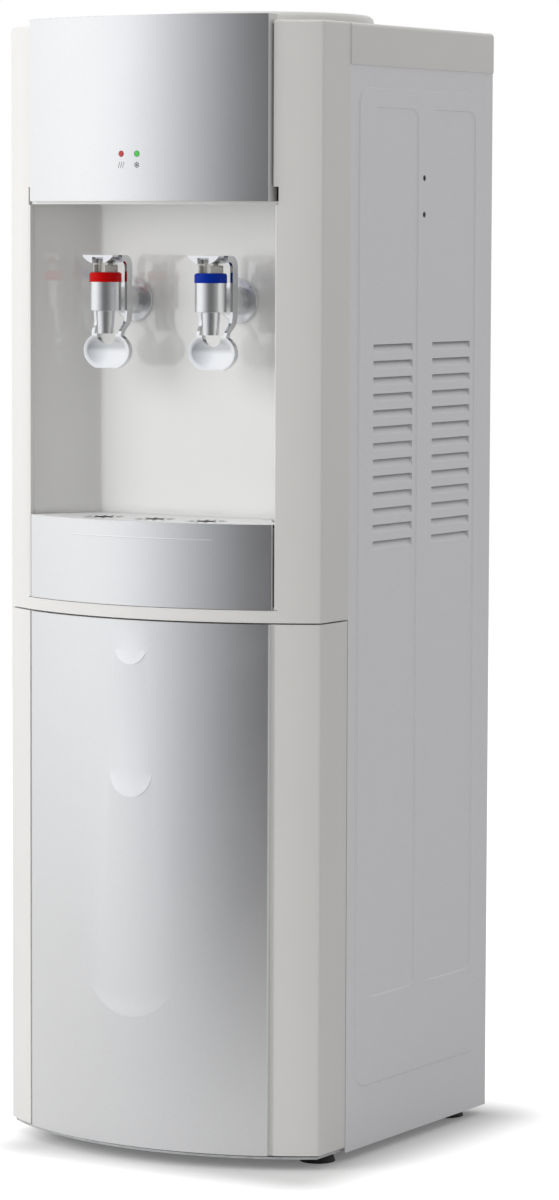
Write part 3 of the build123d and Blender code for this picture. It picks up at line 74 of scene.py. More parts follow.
backward = Vector((
    math.sin(VIEW_AZIMUTH) * math.cos(VIEW_PITCH),
    -math.cos(VIEW_AZIMUTH) * math.cos(VIEW_PITCH),
    math.sin(VIEW_PITCH),
))
level = Vector((math.cos(VIEW_AZIMUTH), math.sin(VIEW_AZIMUTH), 0))
upright = backward.cross(level)
right = level * math.cos(VIEW_ROLL) + upright * math.sin(VIEW_ROLL)
upward = upright * math.cos(VIEW_ROLL) - level * math.sin(VIEW_ROLL)
lens = bpy.data.cameras.new("camera")
lens.sensor_width = SENSOR
lens.lens = FOCAL_PIXELS * SENSOR / PHOTO_HEIGHT
camera = bpy.data.objects.new("camera", lens)
axes = Matrix((right, upward, backward)).transposed().to_4x4()
camera.matrix_world = Matrix.Translation(VIEW_TARGET + backward * VIEW_DISTANCE) @ axes
bpy.context.collection.objects.link(camera)
bpy.context.scene.camera = camera
bpy.context.scene.view_settings.view_transform = "Standard"
print("lens", round(lens.lens, 1), "mm")


# %% [markdown]
# Node trees are easier to read as sums than as wires. This small class wraps one socket: adding,
# subtracting, multiplying or dividing wrapped sockets adds the Math nodes, and one method adds any
# other node, with its settings set first and its sockets filled or linked after.

# %% Wires that can be added and multiplied
class Wire:
    """An output socket in a node tree, with arithmetic."""

    def __init__(self, socket):
        self.socket = socket
        self.tree = socket.id_data

    def node(self, kind, settings, sockets, result=0):
        """Adds a node of this kind to the same tree and returns a wire from one of its outputs."""
        made = self.tree.nodes.new(kind)
        for name, value in settings.items():
            if name == "stops":
                stops = made.color_ramp.elements
                while len(stops) < len(value):
                    stops.new(1)
                for stop, (place, colour) in zip(stops, value):
                    stop.position = place
                    stop.color = colour
            else:
                setattr(made, name, value)
        for name, value in sockets.items():
            if isinstance(value, Wire):
                self.tree.links.new(value.socket, made.inputs[name])
            else:
                made.inputs[name].default_value = value
        return Wire(made.outputs[result])

    def math(self, operation, first, second=0.5):
        """A Math node on one or two values."""
        return self.node("ShaderNodeMath", {"operation": operation}, {0: first, 1: second})

    def __add__(self, other):
        return self.math("ADD", self, other)

    def __sub__(self, other):
        return self.math("SUBTRACT", self, other)

    def __mul__(self, other):
        return self.math("MULTIPLY", self, other)

    def __truediv__(self, other):
        return self.math("DIVIDE", self, other)

    def __rsub__(self, other):
        return self.math("SUBTRACT", other, self)

    __radd__ = __add__
    __rmul__ = __mul__

    def vector(self, operation, first, second=(0, 0, 0), result=0):
        """A Vector Math node on one or two vectors."""
        sockets = {0: first, 1: second}
        return self.node("ShaderNodeVectorMath", {"operation": operation}, sockets, result)

    def split(self):
        """The three parts of a vector."""
        return tuple(self.node("ShaderNodeSeparateXYZ", {}, {0: self}, part) for part in range(3))

    def clamp(self):
        """The same value, held between 0 and 1."""
        return self.node("ShaderNodeClamp", {}, {0: self})

    def mix(self, first, second):
        """The first colour where this value is 0, the second where it is 1."""
        sockets = {0: self, 6: first, 7: second}
        return self.node("ShaderNodeMix", {"data_type": "RGBA"}, sockets, 2)

    def noise(self, scale, detail=2):
        """Cloudy values about 0.5; the wire is a place, and the scale is in patches per metre."""
        sockets = {"Vector": self, "Scale": scale, "Detail": detail}
        return self.node("ShaderNodeTexNoise", {}, sockets)

    def bump(self, strength, depth):
        """A normal that is tilted by this height map; the depth is in metres."""
        sockets = {"Height": self, "Strength": strength, "Distance": depth}
        return self.node("ShaderNodeBump", {}, sockets, "Normal")

    def feed(self, shader, name):
        """Links this value to a socket of another node."""
        self.tree.links.new(self.socket, shader.inputs[name])


print("wires ready")


# %% [markdown]
# The studio. The real picture has a white surround, a bright wide light to the left of the cooler
# and a darker room in front of it, which is what shades the silver fronts from white to grey. An
# image of a studio would do that, but a world that changes with direction needs no image: a plain
# soft level for the light that falls on things, white for the camera, and for reflections a dome
# that is bright on the left and at the back, like the surround, and dims towards the front right
# and towards the ground.

# %% Studio world
def grey(level):
    """An even grey of this level, with an alpha of 1."""
    return (level, level, level, 1)


WHITE = grey(1)
BLACK = grey(0)
AMBIENT = (0.505, 0.50, 0.495, 1)
DOME = [
    (0.00, WHITE),
    (0.24, (0.90, 0.91, 0.92, 1)),
    (0.34, WHITE),
    (0.40, (0.97, 0.98, 1.00, 1)),
    (0.48, (0.46, 0.47, 0.49, 1)),
    (0.54, (0.11, 0.11, 0.115, 1)),
    (0.62, grey(0.08)),
    (0.76, (0.42, 0.42, 0.41, 1)),
    (0.90, grey(0.85)),
    (1.00, WHITE),
]
DOME_FOOT = -0.18
DOME_TOP = 0.02
DOME_LEVELS = [
    (0.00, grey(0.72)),
    (0.25, grey(0.80)),
    (0.46, grey(0.93)),
    (0.56, grey(0.96)),
    (1.00, grey(1.10)),
]
world = bpy.data.worlds.new("studio")
bpy.context.scene.world = world
world.use_nodes = True
background = world.node_tree.nodes["Background"]
heading = Wire(world.node_tree.nodes.new("ShaderNodeTexCoord").outputs["Generated"])
east, north, height = heading.split()
turn = east.math("ARCTAN2", east, 0 - north) / (2 * math.pi) + 0.5
around = turn.node("ShaderNodeValToRGB", {"stops": DOME}, {0: turn})
lift = (height - DOME_FOOT) / (DOME_TOP - DOME_FOOT)
level_light = lift.node("ShaderNodeValToRGB", {"stops": DOME_LEVELS}, {0: lift})
dome = around.node(
    "ShaderNodeMix",
    {"data_type": "RGBA", "blend_type": "MULTIPLY"},
    {0: 1, 6: around, 7: level_light},
    2,
)
path = world.node_tree.nodes.new("ShaderNodeLightPath")
seen = Wire(path.outputs["Is Camera Ray"])
glossy = Wire(path.outputs["Is Glossy Ray"])
mirrored = (glossy + Wire(path.outputs["Is Transmission Ray"])).clamp()
seen.mix(mirrored.mix(AMBIENT, dome), WHITE).feed(background, "Color")
print("studio world with", len(DOME), "dome stops")

# %% [markdown]
# The floor is a sheet of white paper: endless behind the cooler, and ending a little in front of it
# and to its left, so that only the lower part of the door mirrors it. A plane with four corners is
# all it needs. It is matt, so it scatters light and takes the cooler's shadow.

# %% Floor
FLOOR_REACH = 30
FLOOR_FRONT = -1.25
FLOOR_LEFT = -2.2
PAPER_ROUGHNESS = 0.9
floor_mesh = bpy.data.meshes.new("floor")
corners = np.array([(-1, 0, 0), (1, 0, 0), (1, 1, 0), (-1, 1, 0)], float) * FLOOR_REACH
corners[:2, 1] = FLOOR_FRONT
corners[[0, 3], 0] = FLOOR_LEFT
floor_mesh.from_pydata(corners.tolist(), [], [(0, 1, 2, 3)])
floor = bpy.data.objects.new("floor", floor_mesh)
bpy.context.collection.objects.link(floor)
paper = bpy.data.materials.new("paper")
paper.use_nodes = True
paper_shader = paper.node_tree.nodes["Principled BSDF"]
paper_shader.inputs["Roughness"].default_value = PAPER_ROUGHNESS
paper_shader.inputs["Specular IOR Level"].default_value = 0
paper_shader.inputs["Emission Strength"].default_value = 1
floor_mesh.materials.append(paper)
print("floor", FLOOR_REACH - FLOOR_LEFT, "m wide")

# %% [markdown]
# A glow that the lamps don't make lifts the open paper to the white of the surround. It fades out
# close to the base, where the real paper shows a soft grey shadow. The distance to the base is
# worked out from the floor's own coordinates. What the silver mirrors of the paper gets less of
# this glow, and a darker grey the further it lies ahead of the cooler, as in a room that dims to
# the front.

# %% Glow of the open paper
BASE_CENTRE = (0.03, 0, 0)
BASE_HALF = (0.125, 0.155, 0)
SHADOW_REACH = 0.08
OPEN_GLOW = grey(0.70)
MIRRORED_LIFT = 0.10
BASE_LIFT = 0.18
PAPER = grey(0.72)
FAR_PAPER = grey(0.42)
FAR_START = 0.15
FAR_REACH = 1.2
spot = Wire(paper.node_tree.nodes.new("ShaderNodeTexCoord").outputs["Object"])
spread = spot.vector("ABSOLUTE", spot.vector("SUBTRACT", spot, BASE_CENTRE))
outside = spot.vector("SUBTRACT", spread, BASE_HALF)
distance = spot.vector("LENGTH", spot.vector("MAXIMUM", outside), result="Value")
fade = spot.node(
    "ShaderNodeMapRange",
    {"interpolation_type": "SMOOTHSTEP"},
    {"Value": distance, "From Min": 0, "From Max": SHADOW_REACH, "To Min": BASE_LIFT},
)
paper_path = paper.node_tree.nodes.new("ShaderNodeLightPath")
mirrored_floor = Wire(paper_path.outputs["Is Glossy Ray"])
ahead = 0 - spot.split()[1]
far = spot.node(
    "ShaderNodeMapRange",
    {},
    {"Value": ahead, "From Min": FAR_START, "From Max": FAR_REACH},
)
(mirrored_floor * far).mix(PAPER, FAR_PAPER).feed(paper_shader, "Base Color")
watched = Wire(paper_path.outputs["Is Camera Ray"])
watched = watched + Wire(paper_path.outputs["Is Transmission Ray"])
watched = (watched + mirrored_floor * MIRRORED_LIFT).clamp()
(watched * fade).mix(BLACK, OPEN_GLOW).feed(paper_shader, "Emission Color")
print("the paper is white", SHADOW_REACH, "m from the base")


# %% [markdown]
# Lamps. One large soft panel stands in front and to the left, and a weaker one hangs overhead.
# Small lamps would give hard shadows; panels of two metres wrap round the cooler and leave only
# soft shade. They stay out of reflections, because the dome already holds what the
# silver mirrors, without the hard edge of a panel.

# %% Lamps
def soft_panel(name, place, aim, width, tall, power):
    """A rectangular lamp at a place, turned to face a point."""
    lamp = bpy.data.lights.new(name, "AREA")
    lamp.shape = "RECTANGLE"
    lamp.size = width
    lamp.size_y = tall
    lamp.energy = power
    holder = bpy.data.objects.new(name, lamp)
    turned = (Vector(aim) - Vector(place)).to_track_quat("-Z", "Y").to_matrix().to_4x4()
    holder.matrix_world = Matrix.Translation(place) @ turned
    holder.visible_glossy = False
    bpy.context.collection.objects.link(holder)
    return holder


key = soft_panel(
    "key", place=(-1.75, -2.2, 1.3), aim=(0, 0, 0.55), width=1.8, tall=2.2, power=44
)
overhead = soft_panel(
    "overhead", place=(-0.4, -0.3, 3.0), aim=(0, 0, 0.5), width=2.0, tall=2.0, power=14
)
print("lamps", key.data.energy, overhead.data.energy, "W")


# %% [markdown]
# Finishes. Each one starts from the same few lines: a Principled shader with its constants set, and
# the piece's own coordinates as a wire that patterns can read. Every finish has the name of its
# slot in the record, so that the pieces can find it later.

# %% A new finish
finishes = {}


def shade(colour, factor):
    """The colour made darker or lighter by a factor, held below white, with an alpha of 1."""
    return tuple(min(1, channel * factor) for channel in colour) + (1,)


def finish(slot, colour, roughness, metallic=0.0, **constants):
    """A material with a Principled shader; returns the shader and the place wire."""
    material = bpy.data.materials.new(slot)
    material.use_nodes = True
    shader = material.node_tree.nodes["Principled BSDF"]
    shader.inputs["Base Color"].default_value = (*colour, 1)
    shader.inputs["Roughness"].default_value = roughness
    shader.inputs["Metallic"].default_value = metallic
    for name, value in constants.items():
        shader.inputs[name.replace("_", " ")].default_value = value
    finishes[slot] = material
    return shader, Wire(material.node_tree.nodes.new("ShaderNodeTexCoord").outputs["Object"])


print("finish helper ready")


# %% [markdown]
# Moulded plastic. The white housings of a cooler are glossy mouldings: even in colour, with a very
# fine waviness that softens reflections, and a gloss that differs a little from place to place
# where hands and cloths have been. A plain colour would look like paper, so the colour, the
# roughness and the skin each get their own noise.

# %% Moulded plastics
CLOUD_SCALE = 9
GLOSS_SCALE = 35
GLOSS_SWING = 0.12
PEEL_DEPTH = 0.0002


def moulded(slot, colour, roughness, mottle=0.025, peel=0.12, grain=700, **constants):
    """Moulded plastic: a faint cloud in its colour, uneven gloss and a fine orange-peel skin."""
    shader, place = finish(slot, colour, roughness, **constants)
    cloud = place.noise(CLOUD_SCALE, detail=3)
    cloud.mix(shade(colour, 1 - mottle), shade(colour, 1 + mottle)).feed(shader, "Base Color")
    gloss = place.noise(GLOSS_SCALE, detail=4) * GLOSS_SWING + (roughness - GLOSS_SWING / 2)
    gloss.feed(shader, "Roughness")
    place.noise(grain).bump(peel, PEEL_DEPTH).feed(shader, "Normal")


moulded("white_moulding", (0.80, 0.795, 0.78), roughness=0.32)
moulded(
    "alcove_white",
    (0.82, 0.818, 0.808),
    roughness=0.10,
    peel=0.01,
    Coat_Weight=1.0,
    Coat_Roughness=0.02,
    Coat_IOR=1.8,
)
moulded("cover_white", (0.79, 0.785, 0.77), roughness=0.38, peel=0.3, grain=900)
moulded("seat_white", (0.82, 0.82, 0.82), roughness=0.28)
moulded("liner_white", (0.78, 0.785, 0.79), roughness=0.36)
moulded("tray_grey", (0.45, 0.46, 0.47), roughness=0.38)
moulded("plug_white", (0.76, 0.76, 0.75), roughness=0.35)
moulded("stem_white", (0.80, 0.795, 0.77), roughness=0.30)
moulded("bonnet_grey", (0.50, 0.49, 0.46), roughness=0.38)
print(len(finishes), "pale mouldings")

# %% [markdown]
# The coloured and dark pieces are mouldings of the same kind, so the same function makes them. The
# two collars of the taps are dyed through and reflect little, so their specular level is low;
# rubber and foam get a coarser skin and more cloud.

# %% Coloured and dark mouldings
moulded("hot_red", (0.53, 0.001, 0.001), roughness=0.22, peel=0.02, Specular_IOR_Level=0.1)
moulded("cold_blue", (0.001, 0.026, 0.33), roughness=0.22, peel=0.02, Specular_IOR_Level=0.1)
moulded("switch_red", (0.55, 0.02, 0.02), roughness=0.25)
moulded("switch_green", (0.02, 0.35, 0.08), roughness=0.25)
moulded("black_plastic", (0.022, 0.022, 0.024), roughness=0.42, mottle=0.2, peel=0.3)
moulded("foot_rubber", (0.012, 0.012, 0.012), roughness=0.62, mottle=0.25, peel=0.5)
moulded("seal_rubber", (0.30, 0.30, 0.30), roughness=0.60, mottle=0.1, peel=0.4)
moulded("hose_silicone", (0.72, 0.72, 0.70), roughness=0.45)
moulded("foam", (0.75, 0.73, 0.66), roughness=0.85, mottle=0.08, peel=0.9, grain=260)
moulded("board_green", (0.02, 0.16, 0.06), roughness=0.40, mottle=0.2)
print(len(finishes), "mouldings")


# %% [markdown]
# Silver paint. The bowed fronts, the taps and the grille are plastic under metallic paint: flakes
# of aluminium in a satin lacquer. Each flake lies at its own small angle, so up close the paint
# sparkles, and from afar it is a soft mirror. A cell pattern paints that sparkle into the colour as
# a glint of its own brightness on every flake; the metallic value makes the soft mirror.

# %% Silver paints and coated steel
FRONT_METALLIC = 0.95
SATIN_SCALE = 22
SATIN_SWING = 0.08
SKIN_SCALE = 1200
SKIN_DEPTH = 0.0001


def flaked(slot, colour, roughness, metallic, flake=0.05, cells=1500, skin=0.05):
    """Silver paint: tiny flakes, each a cell with a painted glint of its own, under a satin
    lacquer.
    """
    shader, place = finish(slot, colour, roughness, metallic)
    glint_cells = place.node("ShaderNodeTexVoronoi", {}, {"Vector": place, "Scale": cells}, "Color")
    # Painted glint: each cell's brightness stands in for the light a flake catches at its own tilt.
    sparkle = glint_cells.node("ShaderNodeSeparateColor", {}, {0: glint_cells})
    sparkle.mix(shade(colour, 1 - flake), shade(colour, 1 + flake)).feed(shader, "Base Color")
    satin = place.noise(SATIN_SCALE, detail=3) * SATIN_SWING + (roughness - SATIN_SWING / 2)
    satin.feed(shader, "Roughness")
    place.noise(SKIN_SCALE).bump(skin, SKIN_DEPTH).feed(shader, "Normal")
    return shader, place


front_shader, front_place = flaked(
    "silver_paint", (0.90, 0.905, 0.915), roughness=0.30, metallic=FRONT_METALLIC, flake=0.02
)
grille_shader, grille_place = flaked(
    "grille_silver", (0.91, 0.915, 0.92), roughness=0.40, metallic=0.12, flake=0.02
)
flaked("tap_silver", (0.835, 0.845, 0.86), roughness=0.24, metallic=0.88, flake=0.015, skin=0.02)
flaked("lever_silver", (0.78, 0.79, 0.805), roughness=0.10, metallic=1.0, flake=0.015, skin=0.01)
flaked("side_steel", (0.832, 0.829, 0.858), roughness=0.44, metallic=0.05, flake=0.02, cells=900)
flaked("chassis_steel", (0.62, 0.63, 0.64), roughness=0.36, metallic=0.85, flake=0.08, cells=160)
flaked("sink_aluminium", (0.70, 0.71, 0.72), roughness=0.34, metallic=0.95)
print(len(finishes), "finishes with the silver ones")

# %% [markdown]
# On the real fronts the silver is only on the bowed face: the edges that turn back show the white
# moulding. Two materials on one piece would need its faces sorted by hand. Instead the finish asks
# where it is: the fronts share one upright axis, so the distance from it tells the face from the
# edges. The control panel stands a little further out than the tray and the door.

# %% White edges of the fronts
BOW_CENTRE = 0.105
FRONT_RADIUS = 0.273
PANEL_PROUD = 0.003
PANEL_FOOT = 0.70
FILM_EDGE = 0.0012
SHARP = 8000
EDGE_WHITE = (0.78, 0.775, 0.76, 1)

front_height = front_place.split()[2]
from_axis = front_place.vector("SUBTRACT", front_place, (0, BOW_CENTRE, 0))
from_axis = front_place.vector("MULTIPLY", from_axis, (1, 1, 0))
bow = front_place.vector("LENGTH", from_axis, result="Value")
on_panel = front_height.math("GREATER_THAN", front_height, PANEL_FOOT)
face_radius = on_panel * PANEL_PROUD + (FRONT_RADIUS - FILM_EDGE)
film = ((bow - face_radius) * SHARP).clamp()
paint = Wire(front_shader.inputs["Base Color"].links[0].from_socket)
film.mix(EDGE_WHITE, paint).feed(front_shader, "Base Color")
(film * FRONT_METALLIC).feed(front_shader, "Metallic")
print("silver film on radius", FRONT_RADIUS, "and", FRONT_RADIUS + PANEL_PROUD, "m")

# %% [markdown]
# A soft mirror shows every fault of its mesh. The panel and the tray's front are true cylinders,
# but their meshes are long triangles round the lamp holes and ribs, and normals that are averaged
# over those leave faint bands. The exact normal of a cylinder is known: it points straight away
# from the axis. The finish uses that on the bow, and the mesh's own normal on whatever stands proud
# of it.

# %% True normals on the bow
PROUD = 0.00003
FINE = 40000
tray_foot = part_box("drip_tray_front")[0][2]
on_face = 1 - ((bow - face_radius - (FILM_EDGE + PROUD)) * FINE).clamp()
above_door = front_height.math("GREATER_THAN", front_height, tray_foot - PROUD)
outward = front_place.node(
    "ShaderNodeVectorTransform",
    {"vector_type": "NORMAL", "convert_from": "OBJECT", "convert_to": "WORLD"},
    {0: front_place.vector("NORMALIZE", from_axis)},
)
meshed = front_place.node("ShaderNodeNewGeometry", {}, {}, "Normal")
bowed = front_place.node(
    "ShaderNodeMix",
    {"data_type": "VECTOR"},
    {0: on_face * above_door * film, 4: meshed, 5: outward},
    1,
)
bowed.feed(front_shader.inputs["Normal"].links[0].from_node, "Normal")
print("true normals above", round(tray_foot, 4), "m")

# %% [markdown]
# The drip grille has three rosettes of slots, and the slots lie in shade. Looking down on it in
# daylight, hardly any light comes back out of a slot. The walls of the slots are part of the
# grille's mesh, so they take its silver and would shine. The finish paints shade, near black, on
# whatever lies below the top face within the reach of a rosette, and leaves the outer rim silver.

# %% Painted shade in the grille's slots
# The colour of the painted shade on the slot walls.
SLOT_PAINTED_SHADE = (0.055, 0.056, 0.058, 1)
ROSETTE_PITCH = 0.0514
ROSETTE_Y = -0.132
ROSETTE_REACH = 0.0185

grille_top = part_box("drip_grille")[1][2]
grille_x, grille_y, grille_z = grille_place.split()
across = grille_x - grille_x.math("ROUND", grille_x / ROSETTE_PITCH) * ROSETTE_PITCH
along = grille_y - ROSETTE_Y
squared = across * across + along * along
reach = squared.math("SQRT", squared)
inside = reach.math("LESS_THAN", reach, ROSETTE_REACH)
depth = ((grille_top - PROUD) - grille_z) * FINE
paint = Wire(grille_shader.inputs["Base Color"].links[0].from_socket)
# Painted shade: the slot walls below the top face take a near-black colour where the shade falls.
(depth.clamp() * inside).mix(paint, SLOT_PAINTED_SHADE).feed(grille_shader, "Base Color")
print("grille top at", round(grille_top, 4), "m")


# %% [markdown]
# Bare metal. Springs, pins and tanks are drawn or turned steel, with fine scratches that all run
# one way. Noise that is squeezed along one axis gives such a grain; it drives the colour, the
# roughness and a very shallow bump.

# %% Brushed metals
DRAWN_SCALE = 900
DRAWN_DARK = 0.92
DRAWN_LIGHT = 1.06
DRAWN_SWING = 0.16
DRAWN_BUMP = 0.15
DRAWN_DEPTH = 0.0001


def brushed(slot, colour, roughness, squeeze):
    """Drawn metal: noise squeezed along one axis, as a grain in the gloss and the skin."""
    shader, place = finish(slot, colour, roughness, 1.0)
    drawn = place.vector("MULTIPLY", place, squeeze)
    grain = drawn.noise(DRAWN_SCALE, detail=3)
    grain.mix(shade(colour, DRAWN_DARK), shade(colour, DRAWN_LIGHT)).feed(shader, "Base Color")
    (grain * DRAWN_SWING + (roughness - DRAWN_SWING / 2)).feed(shader, "Roughness")
    grain.bump(DRAWN_BUMP, DRAWN_DEPTH).feed(shader, "Normal")


brushed("pin_steel", (0.62, 0.62, 0.63), roughness=0.28, squeeze=(1, 1, 0.05))
brushed("spring_steel", (0.58, 0.58, 0.59), roughness=0.26, squeeze=(1, 1, 0.3))
brushed("tank_steel", (0.65, 0.65, 0.66), roughness=0.24, squeeze=(1, 1, 0.04))
print(len(finishes), "finishes with the bare metals")


# %% [markdown]
# The two lamps are clear lenses, red for the heater and green for the cooler. On the real one a
# small lamp glows behind each. A little emission in the lens's own colour does that without
# lighting the panel.

# %% Lamp lenses
LENS_ROUGHNESS = 0.16
LENS_COAT = 0.5
LENS_GLOW = 0.3
LENS_SCALE = 900
LENS_DARK = 0.8
LENS_LIGHT = 1.5


def glowing(slot, colour):
    """A coloured lens with a small light behind it, unevenly bright like a moulded lens."""
    shader, place = finish(
        slot, colour, LENS_ROUGHNESS, Coat_Weight=LENS_COAT, Emission_Strength=LENS_GLOW
    )
    patches = place.noise(LENS_SCALE)
    patches.mix(shade(colour, LENS_DARK), shade(colour, LENS_LIGHT)).feed(shader, "Emission Color")


glowing("lamp_red", (0.36, 0.02, 0.02))
glowing("lamp_green", (0.04, 0.40, 0.05))
print(len(finishes), "finishes in all")

# %% [markdown]
# The frame's meshes are loose triangles with flat faces, so a bowed front would show its facets.
# Joining and smoothing the meshes by hand would change them, and they are the record of the solids.
# A short geometry-node chain mends the look without touching the meshes: it joins the triangles,
# then shades smoothly over every edge that is nearly flat and keeps the real corners sharp.

# %% Smooth shading by angle
CORNER_ANGLE = math.radians(28)
JOIN_DISTANCE = 1e-6


def smoothing_chain():
    """Geometry nodes: drop the stored normals, join the triangles, smooth all faces, and sharpen
    the real corners."""
    group = bpy.data.node_groups.new("smooth_by_angle", "GeometryNodeTree")
    group.interface.new_socket("Geometry", in_out="INPUT", socket_type="NodeSocketGeometry")
    group.interface.new_socket("Geometry", in_out="OUTPUT", socket_type="NodeSocketGeometry")
    start = Wire(group.nodes.new("NodeGroupInput").outputs[0])
    plain = start.node("GeometryNodeRemoveAttribute", {}, {0: start, "Name": "custom_normal"})
    joined = start.node("GeometryNodeMergeByDistance", {}, {0: plain, "Distance": JOIN_DISTANCE})
    smooth = start.node(
        "GeometryNodeSetShadeSmooth", {"domain": "FACE"}, {0: joined, "Shade Smooth": True}
    )
    bend = start.node("GeometryNodeInputMeshEdgeAngle", {}, {})
    gentle = start.node(
        "FunctionNodeCompare", {"operation": "LESS_THAN"}, {0: bend, 1: CORNER_ANGLE}
    )
    creased = start.node(
        "GeometryNodeSetShadeSmooth", {"domain": "EDGE"}, {0: smooth, "Shade Smooth": gentle}
    )
    creased.feed(group.nodes.new("NodeGroupOutput"), 0)
    return group


chain = smoothing_chain()
for piece in nodes.values():
    piece.modifiers.new("smooth_by_angle", "NODES").node_group = chain
print("smoothed", len(nodes), "nodes")

# %% [markdown]
# Dressing. Each piece of the frame comes with a placeholder that is named after its slot, so the
# finish of that name takes its place.

# %% Dress the frame
for piece in nodes.values():
    for holder in piece.material_slots:
        holder.material = finishes[holder.material.name.split(".")[0]]
print("dressed", len(nodes), "nodes")


# %% [markdown]
# Small pieces that are looks rather than construction: printed marks, a bead, a trim, screw heads,
# the signs on the switches and the coils in the taps. Each is a surface over two parameters, worked
# out as one array of points and handed to Blender whole. One helper turns any stack of such grids
# into a mesh, gives it the finish of a slot and lets it ride on a body.

# %% A mesh from grids of points
WELD = 1e-6


def surface(name, grids, body, slot):
    """One mesh from a stack of grids, each rows by columns of points; every four neighbours make a
    face, and points that coincide, at a seam or a pole, become one."""
    count, rows, columns = grids.shape[:3]
    index = np.arange(count * rows * columns).reshape(count, rows, columns)
    corners = (index[:, :-1, :-1], index[:, :-1, 1:], index[:, 1:, 1:], index[:, 1:, :-1])
    faces = np.stack(corners, axis=-1).reshape(-1, 4)
    mesh = bpy.data.meshes.new(name)
    mesh.from_pydata(grids.reshape(-1, 3).tolist(), [], faces.tolist())
    welded = bmesh.new()
    welded.from_mesh(mesh)
    bmesh.ops.remove_doubles(welded, verts=welded.verts, dist=WELD)
    welded.to_mesh(mesh)
    welded.free()
    mesh.shade_smooth()
    mesh.materials.append(finishes[slot])
    piece = bpy.data.objects.new(name, mesh)
    bpy.context.collection.objects.link(piece)
    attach(piece, body)
    return piece


print("grid helper ready")


# %% [markdown]
# Printed marks. A small sign under each lamp tells heat from cold. Screen printing leaves a thin
# even layer of ink, so each line of a sign is a very low ridge along a path. An image would need a
# texture, and lines need none: they are drawn flat and then wrapped round the bowed panel.

# %% Lines of ink
INK_RISE = 0.00014
INK_SINK = 0.00006
LINE_STEPS = 15
LINE_ROWS = 5
TIP = 0.999


def ink(paths, half_width, rise=INK_RISE):
    """Lines of ink along paths: point = path + side * half-width * s, with s from -1 to 1 across
    the line. The width falls to nothing at both ends as the root of 1 - t^6, and the ridge is a
    parabola in s."""
    t = np.linspace(-TIP, TIP, paths.shape[1])
    s = np.linspace(-1, 1, LINE_ROWS)
    along = np.gradient(paths, axis=1)
    along = along / np.linalg.norm(along, axis=-1, keepdims=True)
    side = np.stack((along[..., 1], -along[..., 0]), axis=-1)
    width = half_width * np.sqrt(1 - t**6)
    flat = paths[:, :, None] + side[:, :, None] * (width[:, None] * s)[None, :, :, None]
    ridge = np.broadcast_to(rise * (1 - s**2) - INK_SINK, flat.shape[:-1])
    return flat[..., 0], flat[..., 1], ridge


def lines(starts, ends):
    """Straight paths: point = start + t * (end - start), with t from 0 to 1."""
    t = np.linspace(0, 1, LINE_STEPS)[None, :, None]
    return starts[:, None] + t * (ends - starts)[:, None]


def pointing(angle):
    """Unit arrows on the sheet at these angles from the level."""
    return np.stack((np.cos(angle), np.sin(angle)), axis=-1)


print("ink rises", INK_RISE * 1000, "mm")

# %% [markdown]
# The two signs. The heat sign is a rising wave, drawn three times side by side. The snowflake is
# six spokes with a pair of barbs on each. Both are drawn about their own middle in units of half a
# sign, then scaled, moved under their lamp and wrapped round the panel.

# %% Signs under the lamps
SIGN_X = 0.00775
SIGN_Z = 0.8368
SIGN_HALF = 0.0027
SIGN_LINE = 0.00032
WAVE_GAP = 0.8
WAVE_SWAY = 0.22
SPOKES = 6
BARB_ROOT = 0.55
BARB_TURN = 0.9
BARB_LENGTH = 0.4


def on_bow(radius, across, up, rise):
    """Wraps a drawing round a bowed front: x = r sin(a) and y = centre - r cos(a), where
    a = across / radius and r = radius + rise."""
    angle = across / radius
    lifted = radius + rise
    return np.stack((lifted * np.sin(angle), BOW_CENTRE - lifted * np.cos(angle), up), axis=-1)


climb = np.linspace(-1, 1, LINE_STEPS)
wave_places = np.array([-WAVE_GAP, 0, WAVE_GAP])[:, None]
sway = wave_places + WAVE_SWAY * np.sin(math.pi * climb)
waves = np.stack(np.broadcast_arrays(sway, climb), axis=-1) * SIGN_HALF
spokes = np.arange(SPOKES) * 2 * math.pi / SPOKES + math.pi / 2
barb_roots = np.repeat(pointing(spokes) * BARB_ROOT, 2, axis=0)
barb_angles = (spokes[:, None] + np.array([-BARB_TURN, BARB_TURN])).reshape(-1)
barbs = lines(barb_roots, barb_roots + pointing(barb_angles) * BARB_LENGTH)
flake = np.concatenate((lines(np.zeros((SPOKES, 2)), pointing(spokes)), barbs)) * SIGN_HALF
for name, drawing, x in (("heat_sign", waves, -SIGN_X), ("cold_sign", flake, SIGN_X)):
    drawn = ink(drawing + np.array((x, SIGN_Z)), SIGN_LINE)
    surface(name, on_bow(FRONT_RADIUS + PANEL_PROUD, *drawn), "cabinet", "black_plastic")
print("heat sign with", len(waves), "lines, cold sign with", len(flake))

# %% [markdown]
# The tray's front has one more fine line, a bead across its upper part where the mould parts. It
# dies away at both ends, which is just what the ink formula does, so the bead is one long line of
# the same kind, painted with the front.

# %% Bead on the tray front
BEAD_HALF = 0.076
BEAD_DROP = 0.0134
BEAD_LINE = 0.0007
BEAD_RISE = 0.0003
BEAD_STEPS = 61
bead_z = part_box("drip_tray_front")[1][2] - BEAD_DROP
bead_x = np.linspace(-BEAD_HALF, BEAD_HALF, BEAD_STEPS)
bead_path = np.stack((bead_x, np.full(BEAD_STEPS, bead_z)), axis=-1)[None]
bead = on_bow(FRONT_RADIUS, *ink(bead_path, BEAD_LINE, BEAD_RISE))
surface("tray_bead", bead, "tray", "silver_paint")
print("bead", 2 * BEAD_HALF, "m long")


# %% [markdown]
# Where the alcove meets the frame, a thin white trim covers the joint on both sides. On the real
# one it is the rolled edge of the alcove's moulding. It is one corner-shaped profile, a flat front
# and a rounded edge that turns in, carried up a straight path from the tray to the panel.

